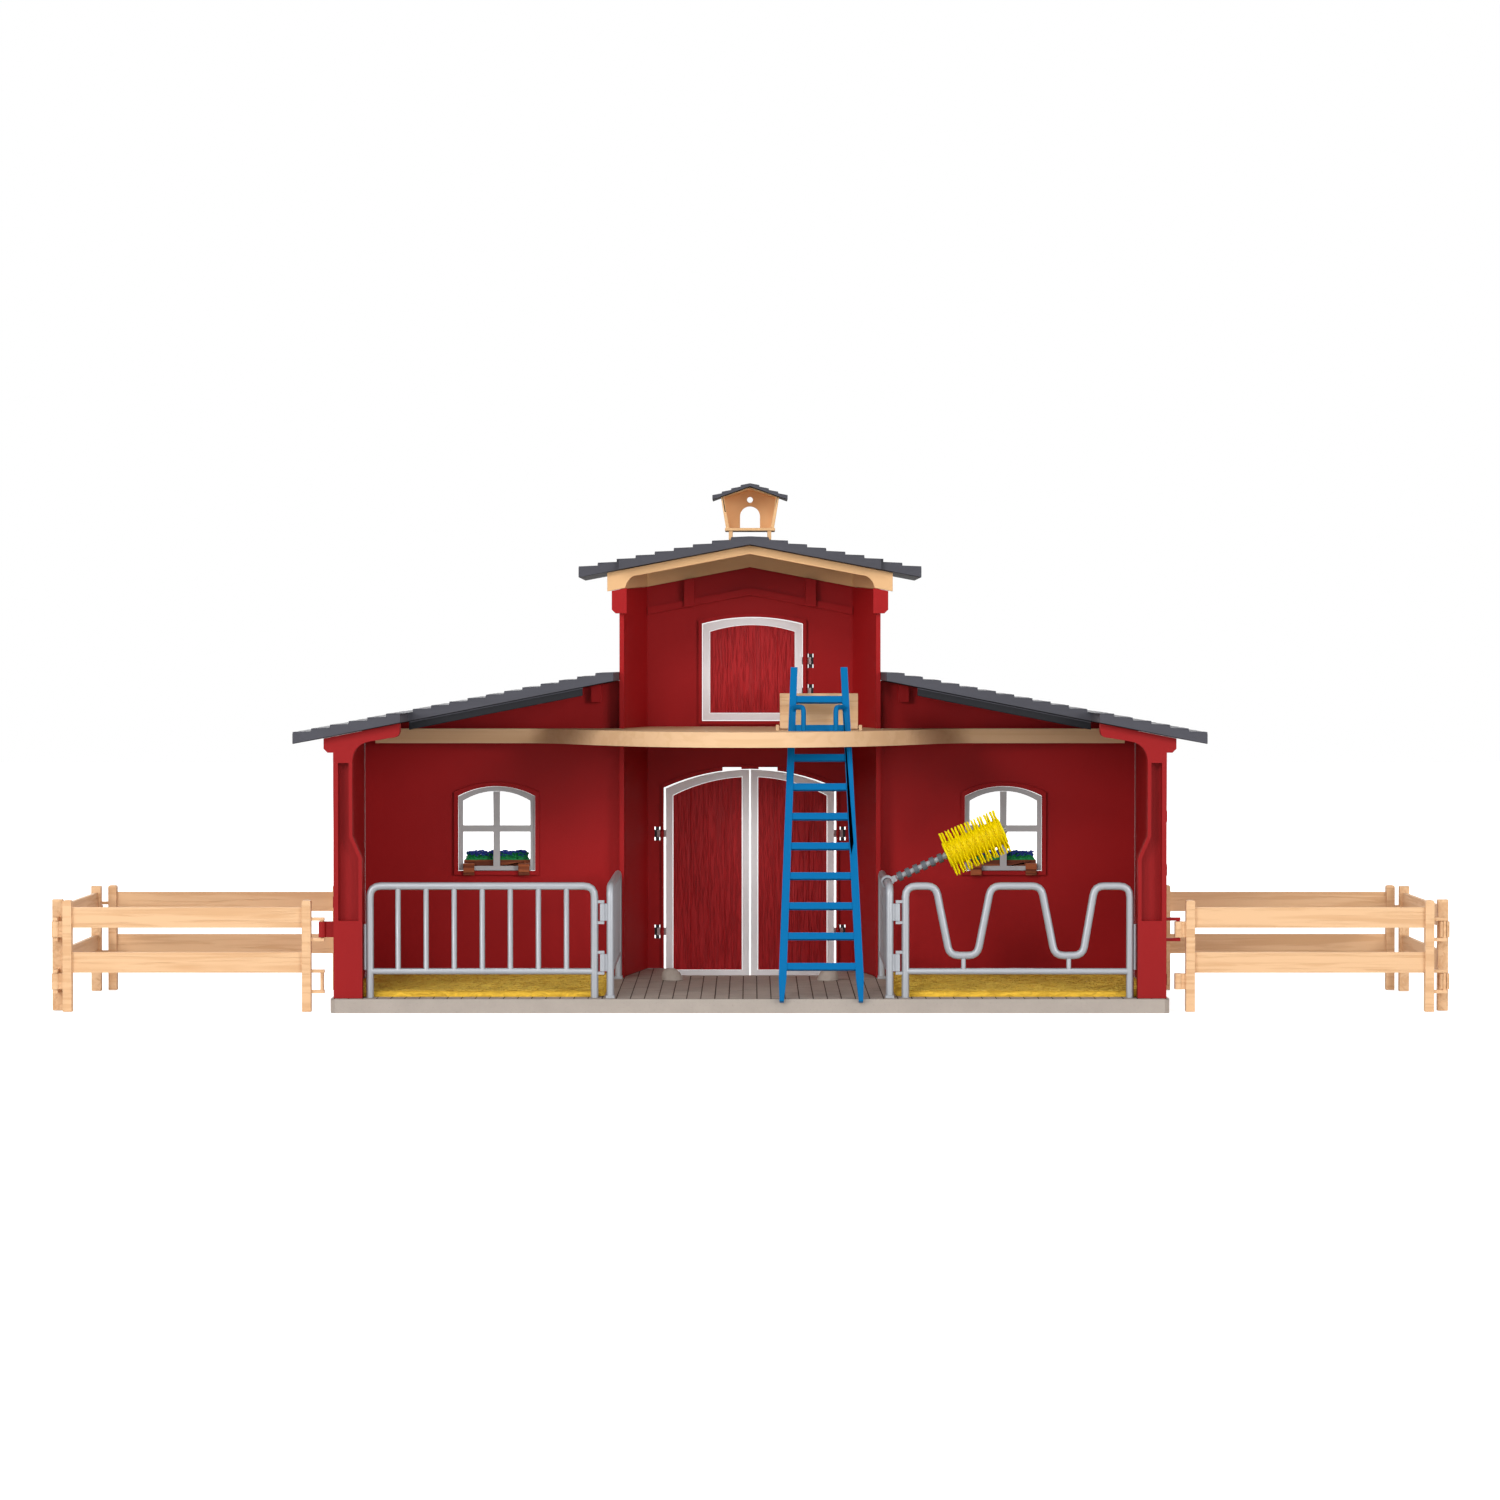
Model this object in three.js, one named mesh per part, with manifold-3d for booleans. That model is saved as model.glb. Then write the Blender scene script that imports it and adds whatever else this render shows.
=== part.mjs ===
// A red toy barn with opening doors: two stalls, a loft with a ladder, a roller brush and two hinged fences.
// Millimetres, +Z up, +X to the right, +Y away from the open side. The origin is on the ground, under the
// middle of the two wings.
import * as THREE from "three";
import { mergeVertices } from "three/addons/utils/BufferGeometryUtils.js";
import Module from "manifold-3d";

const wasm = await Module();
wasm.setup();

// Clearances
const FIT_GAP = 0.3; // between pieces that seat on each other
const PIN_GAP = 0.4; // round a hinge pin
const DOOR_GAP = 0.6; // between a leaf and what it closes against
const OVERRUN = 5; // how far a cutting body runs past what it cuts
const WELD_LENGTH = 0.0001; // points nearer than this are one point
const TURN_LIMIT_SHARE = 0.49; // the most of a run that a rounded corner takes

// Base and floor
const BASE_WIDTH = 530;
const BASE_DEPTH = 180;
const BASE_HEIGHT = 9;
const BASE_SKIN = 2.5;
const BASE_RIB = 2;
const BASE_WALL = 2.5;
const BASE_CORNER = 3;
const BAY_MARGIN = 4;
const POCKETS_ACROSS = 6;
const POCKETS_DEEP = 2;
const THRESHOLD_HEIGHT = 2.6;
const THRESHOLD_CORNER = 7;
const THRESHOLD_REACH = 60;

// Walls
const WALL = 3;
const WALL_INSET = 2;
const TOWER_WIDTH = 175.4;
const TOWER_STUB = 13;
const BAY_SPLAY = 13.7;
const BAY_DEPTH = 72;
const POST_WIDTH = 18;
const POST_UPPER_WIDTH = 12;
const POST_DEPTH = 9;
const POST_BLOCK_HEIGHT = 49;
const POST_BEND_HEIGHT = 98;
const POST_BEND = 14;
const POST_WEB = 3;
const POST_RIM = 2.2;
const BRACKET_REACH = 42;
const BRACKET_OUT = 6;
const BRACKET_HEIGHT = 9;
const BRACKET_ROUND = 5;
const RIB_WIDTH = 7;
const RIB_DEPTH = 5;
const RIB_HEIGHT = 12;
const RIM_WIDTH = 3;
const RIM_PROUD = 1.8;
const TAB_OUT = 3.3;
const TAB_DEEP = 6;
const TAB_HEIGHT = 7;
const TAB_PLACE = 30;
const LEFT_TAB_LOWS = [65];
const RIGHT_TAB_LOWS = [15.5, 85.5, 119.7];

// Wing roofs
const WING_EAVE_HEIGHT = 175;
const WING_SLOPE = THREE.MathUtils.degToRad(11.1);
const WING_OVERHANG = 25;
const WING_COURSES = 17;
const ROOF_PLATE = 5.4;
const TILE_STEP = 1.4;
const ROOF_FRONT_OVERHANG = 4;
const ROOF_BACK_OVERHANG = 12;
const ROOF_CUT_BACK = 60;
const ROOF_CUT_FROM = 220;
const SKIRT_HEIGHT = 5.5;
const SKIRT_WIDTH = 2.5;
const SKIRT_SHORT = 20;

// Tower roof and gable
const RIDGE_ABOVE_LOFT = 123;
const TOWER_SLOPE = THREE.MathUtils.degToRad(10.8);
const TOWER_EAVE = 27;
const TOWER_COURSES = 9;
const TOWER_ROOF_FRONT = 14;
const TOWER_ROOF_BACK = 12;
const TOWER_ROOF_STEP = 4;
const GABLE_HEIGHT = 13;
const TRUSS_OUT = 8;
const TRUSS_DEPTH = 4;
const TRUSS_BOARD = 5.6;
const TRUSS_FOOT = 12;
const TRUSS_ARC = 9;
const CORNER_DROP = 16;
const LEDGE_DROP = 14;
const LEDGE_HEIGHT = 5;
const LEDGE_OUT = 3;
const GABLE_STUD = 7;
const STUD_PLACE = 42;

// Cupola on the ridge
const CUPOLA_BACK = 40;
const CUPOLA_TOP_WIDTH = 39.5;
const CUPOLA_FLOOR_WIDTH = 32;
const CUPOLA_DEPTH = 26;
const CUPOLA_WALL_HEIGHT = 23;
const CUPOLA_WALL = 2;
const CUPOLA_PEAK = 7;
const CUPOLA_LEG = 3.6;
const CUPOLA_LEG_WIDTH = 2.6;
const CUPOLA_LEG_SET = 1.6;
const CUPOLA_FLOOR_OUT = 1;
const CUPOLA_ARCH_WIDTH = 13.6;
const CUPOLA_ARCH_HEIGHT = 17.5;
const CUPOLA_HOLE_RADIUS = 2;
const CUPOLA_HOLE_HEIGHT = 22;
const CUPOLA_ROOF_WIDTH = 51;
const CUPOLA_ROOF_DEPTH = 34;
const CUPOLA_ROOF_PLATE = 2;
const CUPOLA_TILE_STEP = 1;
const CUPOLA_COURSES = 4;

// Doors
const DOOR_WALL_BESIDE = 15.75; // wall left in the bay's back on each side of the doors
const DOOR_SIDE_GAP = 1.5;
const DOOR_SLIT_WIDTH = 13;
const DOOR_SLIT_HEIGHT = 1.8;
const DOOR_SLIT_PLACE = 12.5;
const DOOR_BOTTOM = 3.2;
const DOOR_SIDE_HEIGHT = 134;
const DOOR_RISE = 13;
const DOOR_THICK = 3;
const DOOR_FRAME = 4.7;
const DOOR_FRAME_PROUD = 0.8;
const HATCH_WIDTH = 68.6;
const HATCH_ABOVE_LOFT = 4.4;
const HATCH_SIDE = 66.2;
const HATCH_RISE = 4.6;
const HATCH_OFFSET = 1.7;
const HINGE_PIN_RADIUS = 1.4;
const HINGE_SET = 6;
const HINGE_PIN_HEIGHT = 13;
const HINGE_SLOT_WIDTH = 4;
const HINGE_KNUCKLE_HEIGHT = 5;
const HINGE_RING = 1.3;
const HINGE_LUG = 1.6;
const HINGE_HEEL = 2;
const DOOR_HINGE_SHARE = [0.24, 0.76];
const HATCH_HINGE_SHARE = [0.3, 0.62];

// Windows with flower boxes
const WINDOW_WIDTH = 51.4;
const WINDOW_BOTTOM = 81;
const WINDOW_SIDE_HEIGHT = 131;
const WINDOW_RISE = 6.6;
const WINDOW_PLACE = 171;
const WINDOW_FRAME = 3;
const WINDOW_BAR = 4.4;
const WINDOW_THICK = 2.6;
const PLANTER_WIDTH = 44.6;
const PLANTER_HEIGHT = 9;
const PLANTER_DEPTH = 11;
const PLANTER_WALL = 1.6;
const PLANTER_HOOK = 7.5;
const PLANTER_HOOK_DROP = 8;
const PLANTER_LIP = 3.6;
const LEAF_HEIGHT = 7;
const LEAF_LUMPS = 9;
const LEAF_LUMP = 2.4;
const LEAF_CURVE_STEPS = 3;
const BLOOM_RADIUS = 3.1;
const BLOOM_LIFTS = [2.6, 3.4];
const BLOOM_SWAY = 0.8;
const BLOOM_STALK = 2.4;

// Loft, trap door and ladder
const LOFT_ABOVE_EAVE = 2;
const LOFT_SKIN = 3;
const LOFT_LIP = 9.8;
const LOFT_LIP_WIDTH = 3;
const LOFT_SHELF = 15;
const LOFT_REACH = 154;
const LOFT_HALF_BELL = 150;
const LOFT_BELL_START_SHARE = 0.75;
const LOFT_BELL_END_SHARE = 0.64;
const LOFT_CURVE_STEPS = 14;
const LADDER_PLACE = 45;
const LADDER_FOOT_WIDTH = 50;
const LADDER_HEAD_WIDTH = 32.5;
const LADDER_FOOT_HEIGHT = 7.6;
const LADDER_ABOVE_LOFT = 40.6;
const LADDER_LEAN = 90;
const LADDER_RAIL = 5;
const LADDER_FOOT_SHARE = 0.55;
const LADDER_HEAD_SHARE = 0.9;
const LADDER_TAPER = 16;
const LADDER_RAIL_DEPTH = 4;
const LADDER_RUNG = 4.4;
const LADDER_RUNG_DEPTH = 3;
const LADDER_RUNGS = 10;
const LADDER_FIRST_RUNG = 23.2;
const LADDER_LAST_RUNG = 22.3;
const LADDER_HOOK_RADIUS = 1.7;
const LADDER_HOOK_REACH = 7;
const LADDER_HOOK_ABOVE_LOFT = 12;
const TRAP_WIDTH = 51.6;
const TRAP_HEIGHT = 23;
const TRAP_THICK = 3;
const TRAP_PLACE = 92;
const TRAP_HOLE = 28;
const TRAP_PIN_RADIUS = 1.2;
const TRAP_PIN_LENGTH = 2;
const TRAP_LIFT = 1.8;

// Stall gates and partitions, bent from round tube
const GATE_TOP = 80;
const GATE_RAIL_HEIGHT = 26;
const GATE_TUBE = 2.4;
const GATE_RAIL = 2;
const GATE_BAR = 1.7;
const GATE_CORNER = 7;
const GATE_BARS = 7;
const GATE_PLACE = 8;
const GATE_SIDES = 8;
const GATE_CORNER_STEPS = 4;
const GATE_FOOT_LENGTH = 9;
const GATE_FOOT_WIDTH = 5.4;
const GATE_FOOT_HEIGHT = 1.6;
const LATCH_ROD = 1.1;
const LATCH_SINK = 0.4;
const LATCH_BOTTOM = 27;
const LATCH_TOP = 56;
const PARTITION_PLACE = 88.4;
const PARTITION_BACK = 160;
const GATE_HINGE_HEIGHT = 15;
const GATE_HINGE_LOWS = [24, 56];
const GATE_HINGE_PIN = 1;
const GATE_HINGE_ARM = 1.8;
const GATE_HINGE_RING = 0.9;
const W_LOW = 36;
const W_STRUT = 1.5;
const W_PLACE_SHARES = [
  [0.135, true],
  [0.197, false],
  [0.32, false],
  [0.381, true],
  [0.604, true],
  [0.665, false],
  [0.79, false],
  [0.843, true],
];
const MAT_HEIGHT = 3;
const MAT_MARGIN = 5;
const MAT_ROUND = 4;
const MAT_EDGE = 1;

// Roller brush on a ribbed neck
const BRUSH_AFTER_BAR = 2;
const BRUSH_TILT = THREE.MathUtils.degToRad(24);
const CLIP_RING = 1.5;
const CLIP_WIDTH = 6;
const CLIP_STEM = 4;
const NECK_LENGTH = 34;
const NECK_CORE = 1.7;
const NECK_RIB = 3.1;
const NECK_RIBS = 6;
const NECK_RIB_SHARE = 0.55;
const AXLE_RADIUS = 1.3;
const AXLE_CAP = 2.4;
const AXLE_CAP_LENGTH = 1.6;
const BRUSH_LENGTH = 40;
const BRUSH_CORE = 8;
const BRUSH_RADIUS = 15;
const STRAND_ROWS = 15;
const STRANDS_ROUND = 20;
const STRAND_WIDTH = 0.9;
const STRAND_SINK = 0.5;

// Fence panels with clip hinges
const FENCE_LENGTH = 169;
const FENCE_HEIGHT = 71;
const FENCE_FOOT_GAP = 0.4;
const FENCE_POST = 5.6;
const FENCE_POST_DEPTH = 6.4;
const FENCE_POST_ROUND = 1.4;
const FENCE_RAIL = 13;
const FENCE_RAIL_DEPTH = 2.6;
const FENCE_RAIL_LOWS = [25, 53.5];
const FENCE_PIN_SET = 7;
const FENCE_RING_SET = 5;
const FENCE_PIN = 1.2;
const FENCE_ARM = 2;
const FENCE_LOOP_LOWS = [12, 45];
const FENCE_LOOP_HEIGHT = 15;
const FENCE_RING = 1.5;
const FENCE_CLIP_WIDTH = 3;
const FENCE_RING_MARGIN = 0.5;
const FENCE_FRONT = 10;
const FENCE_BACK = 4;
const FENCE_OFF_WALL = 8;
const RING_SIDES = 8;
const RING_MOUTH = THREE.MathUtils.degToRad(100);

// Colours
const COLOURS = {
  red: { color: 0x8c1a1c, roughness: 0.55, metalness: 0 },
  slate: { color: 0x4a4b52, roughness: 0.6, metalness: 0 },
  timber: { color: 0xe6bd92, roughness: 0.6, metalness: 0 },
  stone: { color: 0xb5aaa0, roughness: 0.75, metalness: 0 },
  white: { color: 0xdcdee0, roughness: 0.45, metalness: 0 },
  steel: { color: 0xb4b8bc, roughness: 0.4, metalness: 0.2 },
  dark: { color: 0x55585c, roughness: 0.5, metalness: 0.2 },
  blue: { color: 0x1466a8, roughness: 0.45, metalness: 0 },
  yellow: { color: 0xf0d400, roughness: 0.5, metalness: 0 },
  straw: { color: 0xd0a23a, roughness: 0.9, metalness: 0 },
  brown: { color: 0x8a4a2c, roughness: 0.6, metalness: 0 },
  leaf: { color: 0x1f7a45, roughness: 0.7, metalness: 0 },
  bloom: { color: 0x2b3f8c, roughness: 0.6, metalness: 0 },
};

// Places worked out from the sizes above
const FRONT = -BASE_DEPTH / 2;
const BACK = BASE_DEPTH / 2 - WALL_INSET;
const SIDE = BASE_WIDTH / 2 - WALL_INSET;
const TOWER_SIDE = TOWER_WIDTH / 2;
const BAY_BACK = BACK + BAY_DEPTH;
const BAY_BACK_WIDTH = TOWER_WIDTH - 2 * BAY_SPLAY;
const DOOR_WIDTH = BAY_BACK_WIDTH - 2 * DOOR_WALL_BESIDE;
const TOWER_FRONT = BACK - TOWER_STUB;
const FLOOR = BASE_HEIGHT + FIT_GAP;
const LOFT_TOP = WING_EAVE_HEIGHT + LOFT_ABOVE_EAVE;
const RIDGE_HEIGHT = LOFT_TOP + RIDGE_ABOVE_LOFT;
const HATCH_BOTTOM = LOFT_TOP + HATCH_ABOVE_LOFT;
const HATCH_SIDE_HEIGHT = HATCH_BOTTOM + HATCH_SIDE;
const GATE_HINGE_SET = GATE_HINGE_PIN + PIN_GAP + GATE_HINGE_RING + FIT_GAP + GATE_TUBE;
const wingUnder = (x) => WING_EAVE_HEIGHT + (SIDE - Math.abs(x)) * Math.tan(WING_SLOPE);
const towerUnder = (x) => RIDGE_HEIGHT - Math.abs(x) * Math.tan(TOWER_SLOPE);

const root = new THREE.Group();

// Solids: three.js makes each shape, and the solid library only joins and cuts them
function solid(geometry) {
  const bare = geometry.index ? geometry.toNonIndexed() : geometry.clone();
  bare.deleteAttribute("normal");
  bare.deleteAttribute("uv");
  const merged = mergeVertices(bare, WELD_LENGTH);
  return new wasm.Manifold(
    new wasm.Mesh({
      numProp: 3,
      vertProperties: merged.attributes.position.array,
      triVerts: new Uint32Array(merged.index.array),
    }),
  );
}

function geometryOf(body) {
  const mesh = body.getMesh();
  return new THREE.BufferGeometry()
    .setAttribute("position", new THREE.BufferAttribute(new Float32Array(mesh.vertProperties), 3))
    .setIndex(new THREE.BufferAttribute(new Uint32Array(mesh.triVerts), 1));
}

function join(bodies) {
  return bodies.reduce((all, body) => all.add(body));
}

function place(name, body, colour) {
  const geometry = geometryOf(body).toNonIndexed();
  geometry.computeVertexNormals();
  const mesh = new THREE.Mesh(geometry, new THREE.MeshStandardMaterial(COLOURS[colour]));
  mesh.name = name;
  root.add(mesh);
}

function block(x0, x1, y0, y1, z0, z1) {
  const geometry = new THREE.BoxGeometry(x1 - x0, y1 - y0, z1 - z0);
  geometry.translate((x0 + x1) / 2, (y0 + y1) / 2, (z0 + z1) / 2);
  return solid(geometry);
}

function outline(points) {
  return new THREE.Shape(points.map(([x, y]) => new THREE.Vector2(x, y)));
}

function extrude(shape, length, curveSegments = 8) {
  return new THREE.ExtrudeGeometry(shape, { depth: length, bevelEnabled: false, curveSegments });
}

// An outline in X and Y, raised from z0 to z1
function slab(shape, z0, z1, curveSegments) {
  return solid(extrude(shape, z1 - z0, curveSegments).translate(0, 0, z0));
}

// An outline in X and Z, run from y0 back to y1
function plate(shape, y0, y1, curveSegments) {
  const geometry = extrude(shape, y1 - y0, curveSegments);
  return solid(geometry.rotateX(Math.PI / 2).translate(0, y1, 0));
}

// An outline in Y and Z, run from x0 to x1
function sheet(shape, x0, x1, curveSegments) {
  const turn = new THREE.Matrix4().makeBasis(
    new THREE.Vector3(0, 1, 0),
    new THREE.Vector3(0, 0, 1),
    new THREE.Vector3(1, 0, 0),
  );
  return solid(extrude(shape, x1 - x0, curveSegments).applyMatrix4(turn).translate(x0, 0, 0));
}

function post(x, y, radius, z0, z1, sides = RING_SIDES) {
  const geometry = new THREE.CylinderGeometry(radius, radius, z1 - z0, sides);
  return solid(geometry.rotateX(Math.PI / 2).translate(x, y, (z0 + z1) / 2));
}

// A line of stations for a bent tube: straight runs take one step, and each corner an arc of a few
class Route extends THREE.Curve {
  constructor(stations) {
    super();
    this.stations = stations;
  }
  getPoint(t) {
    const place = Math.min(t, 1) * (this.stations.length - 1);
    const low = Math.min(Math.floor(place + WELD_LENGTH), this.stations.length - 2);
    return this.stations[low].clone().lerp(this.stations[low + 1], place - low);
  }
  getPointAt(t) {
    return this.getPoint(t);
  }
  getTangentAt(t) {
    const count = this.stations.length - 1;
    const here = Math.round(t * count);
    const before = this.stations[Math.max(here - 1, 0)];
    const after = this.stations[Math.min(here + 1, count)];
    return after.clone().sub(before).normalize();
  }
}

function bent(points, radius) {
  const stations = [points[0]];
  for (let i = 1; i < points.length - 1; i += 1) {
    const into = points[i].clone().sub(points[i - 1]);
    const out = points[i + 1].clone().sub(points[i]);
    const half = into.angleTo(out) / 2;
    const room = Math.min(into.length(), out.length()) * TURN_LIMIT_SHARE;
    const reach = Math.min(radius * Math.tan(half), room);
    const start = points[i].clone().addScaledVector(into.normalize(), -reach);
    const end = points[i].clone().addScaledVector(out.normalize(), reach);
    const arc = new THREE.QuadraticBezierCurve3(start, points[i], end);
    stations.push(...arc.getPoints(GATE_CORNER_STEPS));
  }
  stations.push(points[points.length - 1]);
  return stations;
}

function tube(points, tubeRadius, cornerRadius, sides = GATE_SIDES) {
  const stations = cornerRadius ? bent(points, cornerRadius) : points;
  const ring = new THREE.Shape();
  ring.absarc(0, 0, tubeRadius, 0, Math.PI * 2);
  const section = new THREE.Shape(ring.getSpacedPoints(sides).slice(0, sides));
  const options = { extrudePath: new Route(stations), steps: stations.length - 1 };
  return solid(new THREE.ExtrudeGeometry(section, { ...options, bevelEnabled: false }));
}

function ordered(a, b) {
  return a < b ? [a, b] : [b, a];
}

// An upright opening with a low arch over it
function arched(x0, x1, bottom, side, rise, hole = false) {
  const shape = hole ? new THREE.Path() : new THREE.Shape();
  const half = (x1 - x0) / 2;
  const radius = (half * half + rise * rise) / (2 * rise);
  const reach = Math.asin(half / radius);
  const centre = side + rise - radius;
  shape.moveTo(x0, bottom);
  shape.lineTo(x1, bottom);
  shape.absarc((x0 + x1) / 2, centre, radius, Math.PI / 2 - reach, Math.PI / 2 + reach);
  shape.closePath();
  return shape;
}

function inset(x0, x1, bottom, side, rise, by) {
  return [x0 + by, x1 - by, bottom + by, side - by, rise];
}

// Floor plate: a shallow tray turned upside down, with ribs under it and a low threshold at the doors
function baseFloor() {
  const half = BASE_WIDTH / 2;
  const bayFront = TOWER_SIDE + BAY_MARGIN;
  const bayBack = BAY_BACK_WIDTH / 2 + BAY_MARGIN;
  const back = BASE_DEPTH / 2;
  const far = BAY_BACK + BAY_MARGIN;
  const shape = outline([
    [-half + BASE_CORNER, FRONT], [half - BASE_CORNER, FRONT], [half, FRONT + BASE_CORNER],
    [half, back], [bayFront, back], [bayBack, far], [-bayBack, far], [-bayFront, back],
    [-half, back], [-half, FRONT + BASE_CORNER],
  ]);
  const body = slab(shape, 0, BASE_HEIGHT);
  const pitch = (BASE_WIDTH - 2 * BASE_WALL + BASE_RIB) / POCKETS_ACROSS;
  const deep = (BASE_DEPTH - 2 * BASE_WALL + BASE_RIB) / POCKETS_DEEP;
  const pockets = [];
  for (let i = 0; i < POCKETS_ACROSS; i += 1) {
    for (let j = 0; j < POCKETS_DEEP; j += 1) {
      const x = -half + BASE_WALL + i * pitch;
      const y = FRONT + BASE_WALL + j * deep;
      const top = BASE_HEIGHT - BASE_SKIN;
      pockets.push(block(x, x + pitch - BASE_RIB, y, y + deep - BASE_RIB, -OVERRUN, top));
    }
  }
  const reach = DOOR_WIDTH / 2 + DOOR_SIDE_GAP;
  const notchFront = BAY_BACK - WALL - THRESHOLD_REACH;
  const notch = new THREE.Shape();
  notch.moveTo(reach, far + OVERRUN);
  notch.lineTo(-reach, far + OVERRUN);
  notch.lineTo(-reach, notchFront + THRESHOLD_CORNER);
  notch.quadraticCurveTo(-reach, notchFront, -reach + THRESHOLD_CORNER, notchFront);
  notch.lineTo(reach - THRESHOLD_CORNER, notchFront);
  notch.quadraticCurveTo(reach, notchFront, reach, notchFront + THRESHOLD_CORNER);
  notch.closePath();
  const cut = slab(notch, THRESHOLD_HEIGHT, BASE_HEIGHT + OVERRUN);
  place("base_floor", body.subtract(join(pockets)).subtract(cut), "stone");
}

// The front post of a side wall: a lower block, a rimmed channel and a roof bracket
function postFront(side) {
  const inner = SIDE - POST_WIDTH;
  const upper = SIDE - POST_UPPER_WIDTH;
  const under = (x) => wingUnder(x) - FIT_GAP;
  const tip = SIDE - BRACKET_REACH;
  const out = SIDE + BRACKET_OUT;
  const shape = new THREE.Shape();
  shape.moveTo(side * SIDE, FLOOR);
  shape.lineTo(side * inner, FLOOR);
  shape.lineTo(side * inner, POST_BEND_HEIGHT);
  shape.lineTo(side * upper, POST_BEND_HEIGHT + POST_BEND);
  const neck = under(upper) - BRACKET_HEIGHT - 2 * BRACKET_ROUND;
  shape.lineTo(side * upper, neck);
  const soffit = under(tip) - BRACKET_HEIGHT;
  const turn = [side * upper, soffit - BRACKET_ROUND];
  shape.quadraticCurveTo(...turn, side * (upper - 2 * BRACKET_ROUND), soffit - BRACKET_ROUND / 2);
  shape.lineTo(side * (tip + BRACKET_ROUND), soffit);
  shape.quadraticCurveTo(side * tip, soffit, side * tip, soffit + BRACKET_ROUND);
  shape.lineTo(side * tip, under(tip));
  shape.lineTo(side * out, under(out));
  shape.lineTo(side * out, under(out) - BRACKET_HEIGHT + BRACKET_ROUND / 2);
  shape.lineTo(side * (out - BRACKET_ROUND / 2), under(out) - BRACKET_HEIGHT);
  shape.lineTo(side * SIDE, under(out) - BRACKET_HEIGHT);
  shape.closePath();
  const y0 = FRONT + WALL_INSET;
  const body = plate(shape, y0, y0 + POST_DEPTH);
  const kink = POST_BEND_HEIGHT - POST_RIM * Math.tan(Math.atan((upper - inner) / POST_BEND) / 2);
  const channel = outline([
    [side * (SIDE - POST_RIM), FLOOR + POST_BLOCK_HEIGHT],
    [side * (inner + POST_RIM), FLOOR + POST_BLOCK_HEIGHT],
    [side * (inner + POST_RIM), kink],
    [side * (upper + POST_RIM), kink + POST_BEND],
    [side * (upper + POST_RIM), neck],
    [side * (SIDE - POST_RIM), neck],
  ]);
  return body.subtract(plate(channel, y0 - OVERRUN, y0 + POST_DEPTH - POST_WEB));
}

// A clip hinge's two halves, both on an upright pin at x, y. way is the angle from the pin to its carrier.
function pinLoop(x, y, way, reach, z0, height, pin, arm, width) {
  const top = z0 + height;
  const along = new THREE.Matrix4().makeRotationZ(way);
  const armAt = (low) => {
    const bar = new THREE.BoxGeometry(reach + width / 2, width, arm);
    bar.translate((reach - width / 2) / 2, 0, low + arm / 2);
    return solid(bar.applyMatrix4(along).translate(x, y, 0));
  };
  return join([armAt(z0), armAt(top - arm), post(x, y, pin, z0 + arm / 2, top - arm / 2)]);
}

function clipRing(x, y, way, reach, z0, z1, pin, wall, stem) {
  const bore = pin + PIN_GAP;
  const outer = bore + wall;
  const shape = new THREE.Shape();
  const from = RING_MOUTH / 2;
  shape.absarc(0, 0, outer, Math.PI + from, 3 * Math.PI - from, false);
  shape.absarc(0, 0, bore, 3 * Math.PI - from, Math.PI + from, true);
  shape.closePath();
  const ring = slab(shape, z0, z1, RING_SIDES);
  const neck = block((bore + outer) / 2, reach, -stem / 2, stem / 2, z0, z1);
  const turned = ring.add(neck).rotate([0, 0, THREE.MathUtils.radToDeg(way)]);
  return turned.translate([x, y, 0]);
}

// Fence sizes that both the panels and the walls' clips use
const RING_LOW = (low) => low + FENCE_ARM + FENCE_RING_MARGIN;
const RING_HIGH = (low) => low + FENCE_LOOP_HEIGHT - FENCE_ARM - FENCE_RING_MARGIN;

function fenceLoop(x, y, way, low, reach) {
  return pinLoop(x, y, way, reach, low, FENCE_LOOP_HEIGHT, FENCE_PIN, FENCE_ARM, FENCE_CLIP_WIDTH);
}

function fenceRing(x, y, way, low, reach) {
  const heights = [RING_LOW(low), RING_HIGH(low)];
  return clipRing(x, y, way, reach, ...heights, FENCE_PIN, FENCE_RING, FENCE_CLIP_WIDTH);
}

const FENCE_DEPTH = BASE_DEPTH - FENCE_FRONT - FENCE_BACK;
const FENCE_FRONT_Y = FRONT + FENCE_FRONT;
const FENCE_PIN_X = SIDE + FENCE_OFF_WALL;

// One side wall with its front post and the clips that carry the fence
function sideWall(side) {
  const inner = (x) => wingUnder(x) - FIT_GAP;
  const x0 = side < 0 ? -SIDE : SIDE - WALL;
  const top = inner(SIDE);
  const wall = block(x0, x0 + WALL, FRONT + WALL_INSET, BACK, FLOOR, top);
  const way = side < 0 ? 0 : Math.PI;
  const reach = FENCE_OFF_WALL + WALL / 2;
  const high = FENCE_LOOP_LOWS[1];
  const frontY = FENCE_FRONT_Y;
  const backY = FENCE_FRONT_Y + FENCE_DEPTH;
  const [ringY, loopY] = side < 0 ? [frontY, backY] : [backY, frontY];
  const clips = [
    fenceRing(side * FENCE_PIN_X, ringY, way, high, reach),
    fenceLoop(side * FENCE_PIN_X, loopY, way, high, reach),
  ];
  const face = side * SIDE;
  const edges = ordered(face - (side * WALL) / 2, face + side * TAB_OUT);
  const tabY = FRONT + TAB_PLACE;
  const lows = side < 0 ? LEFT_TAB_LOWS : RIGHT_TAB_LOWS;
  const tabs = lows.map((low) => block(...edges, tabY, tabY + TAB_DEEP, low, low + TAB_HEIGHT));
  const name = side < 0 ? "left_side_wall" : "right_side_wall";
  place(name, join([wall, postFront(side), ...clips, ...tabs]), "red");
}

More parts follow.
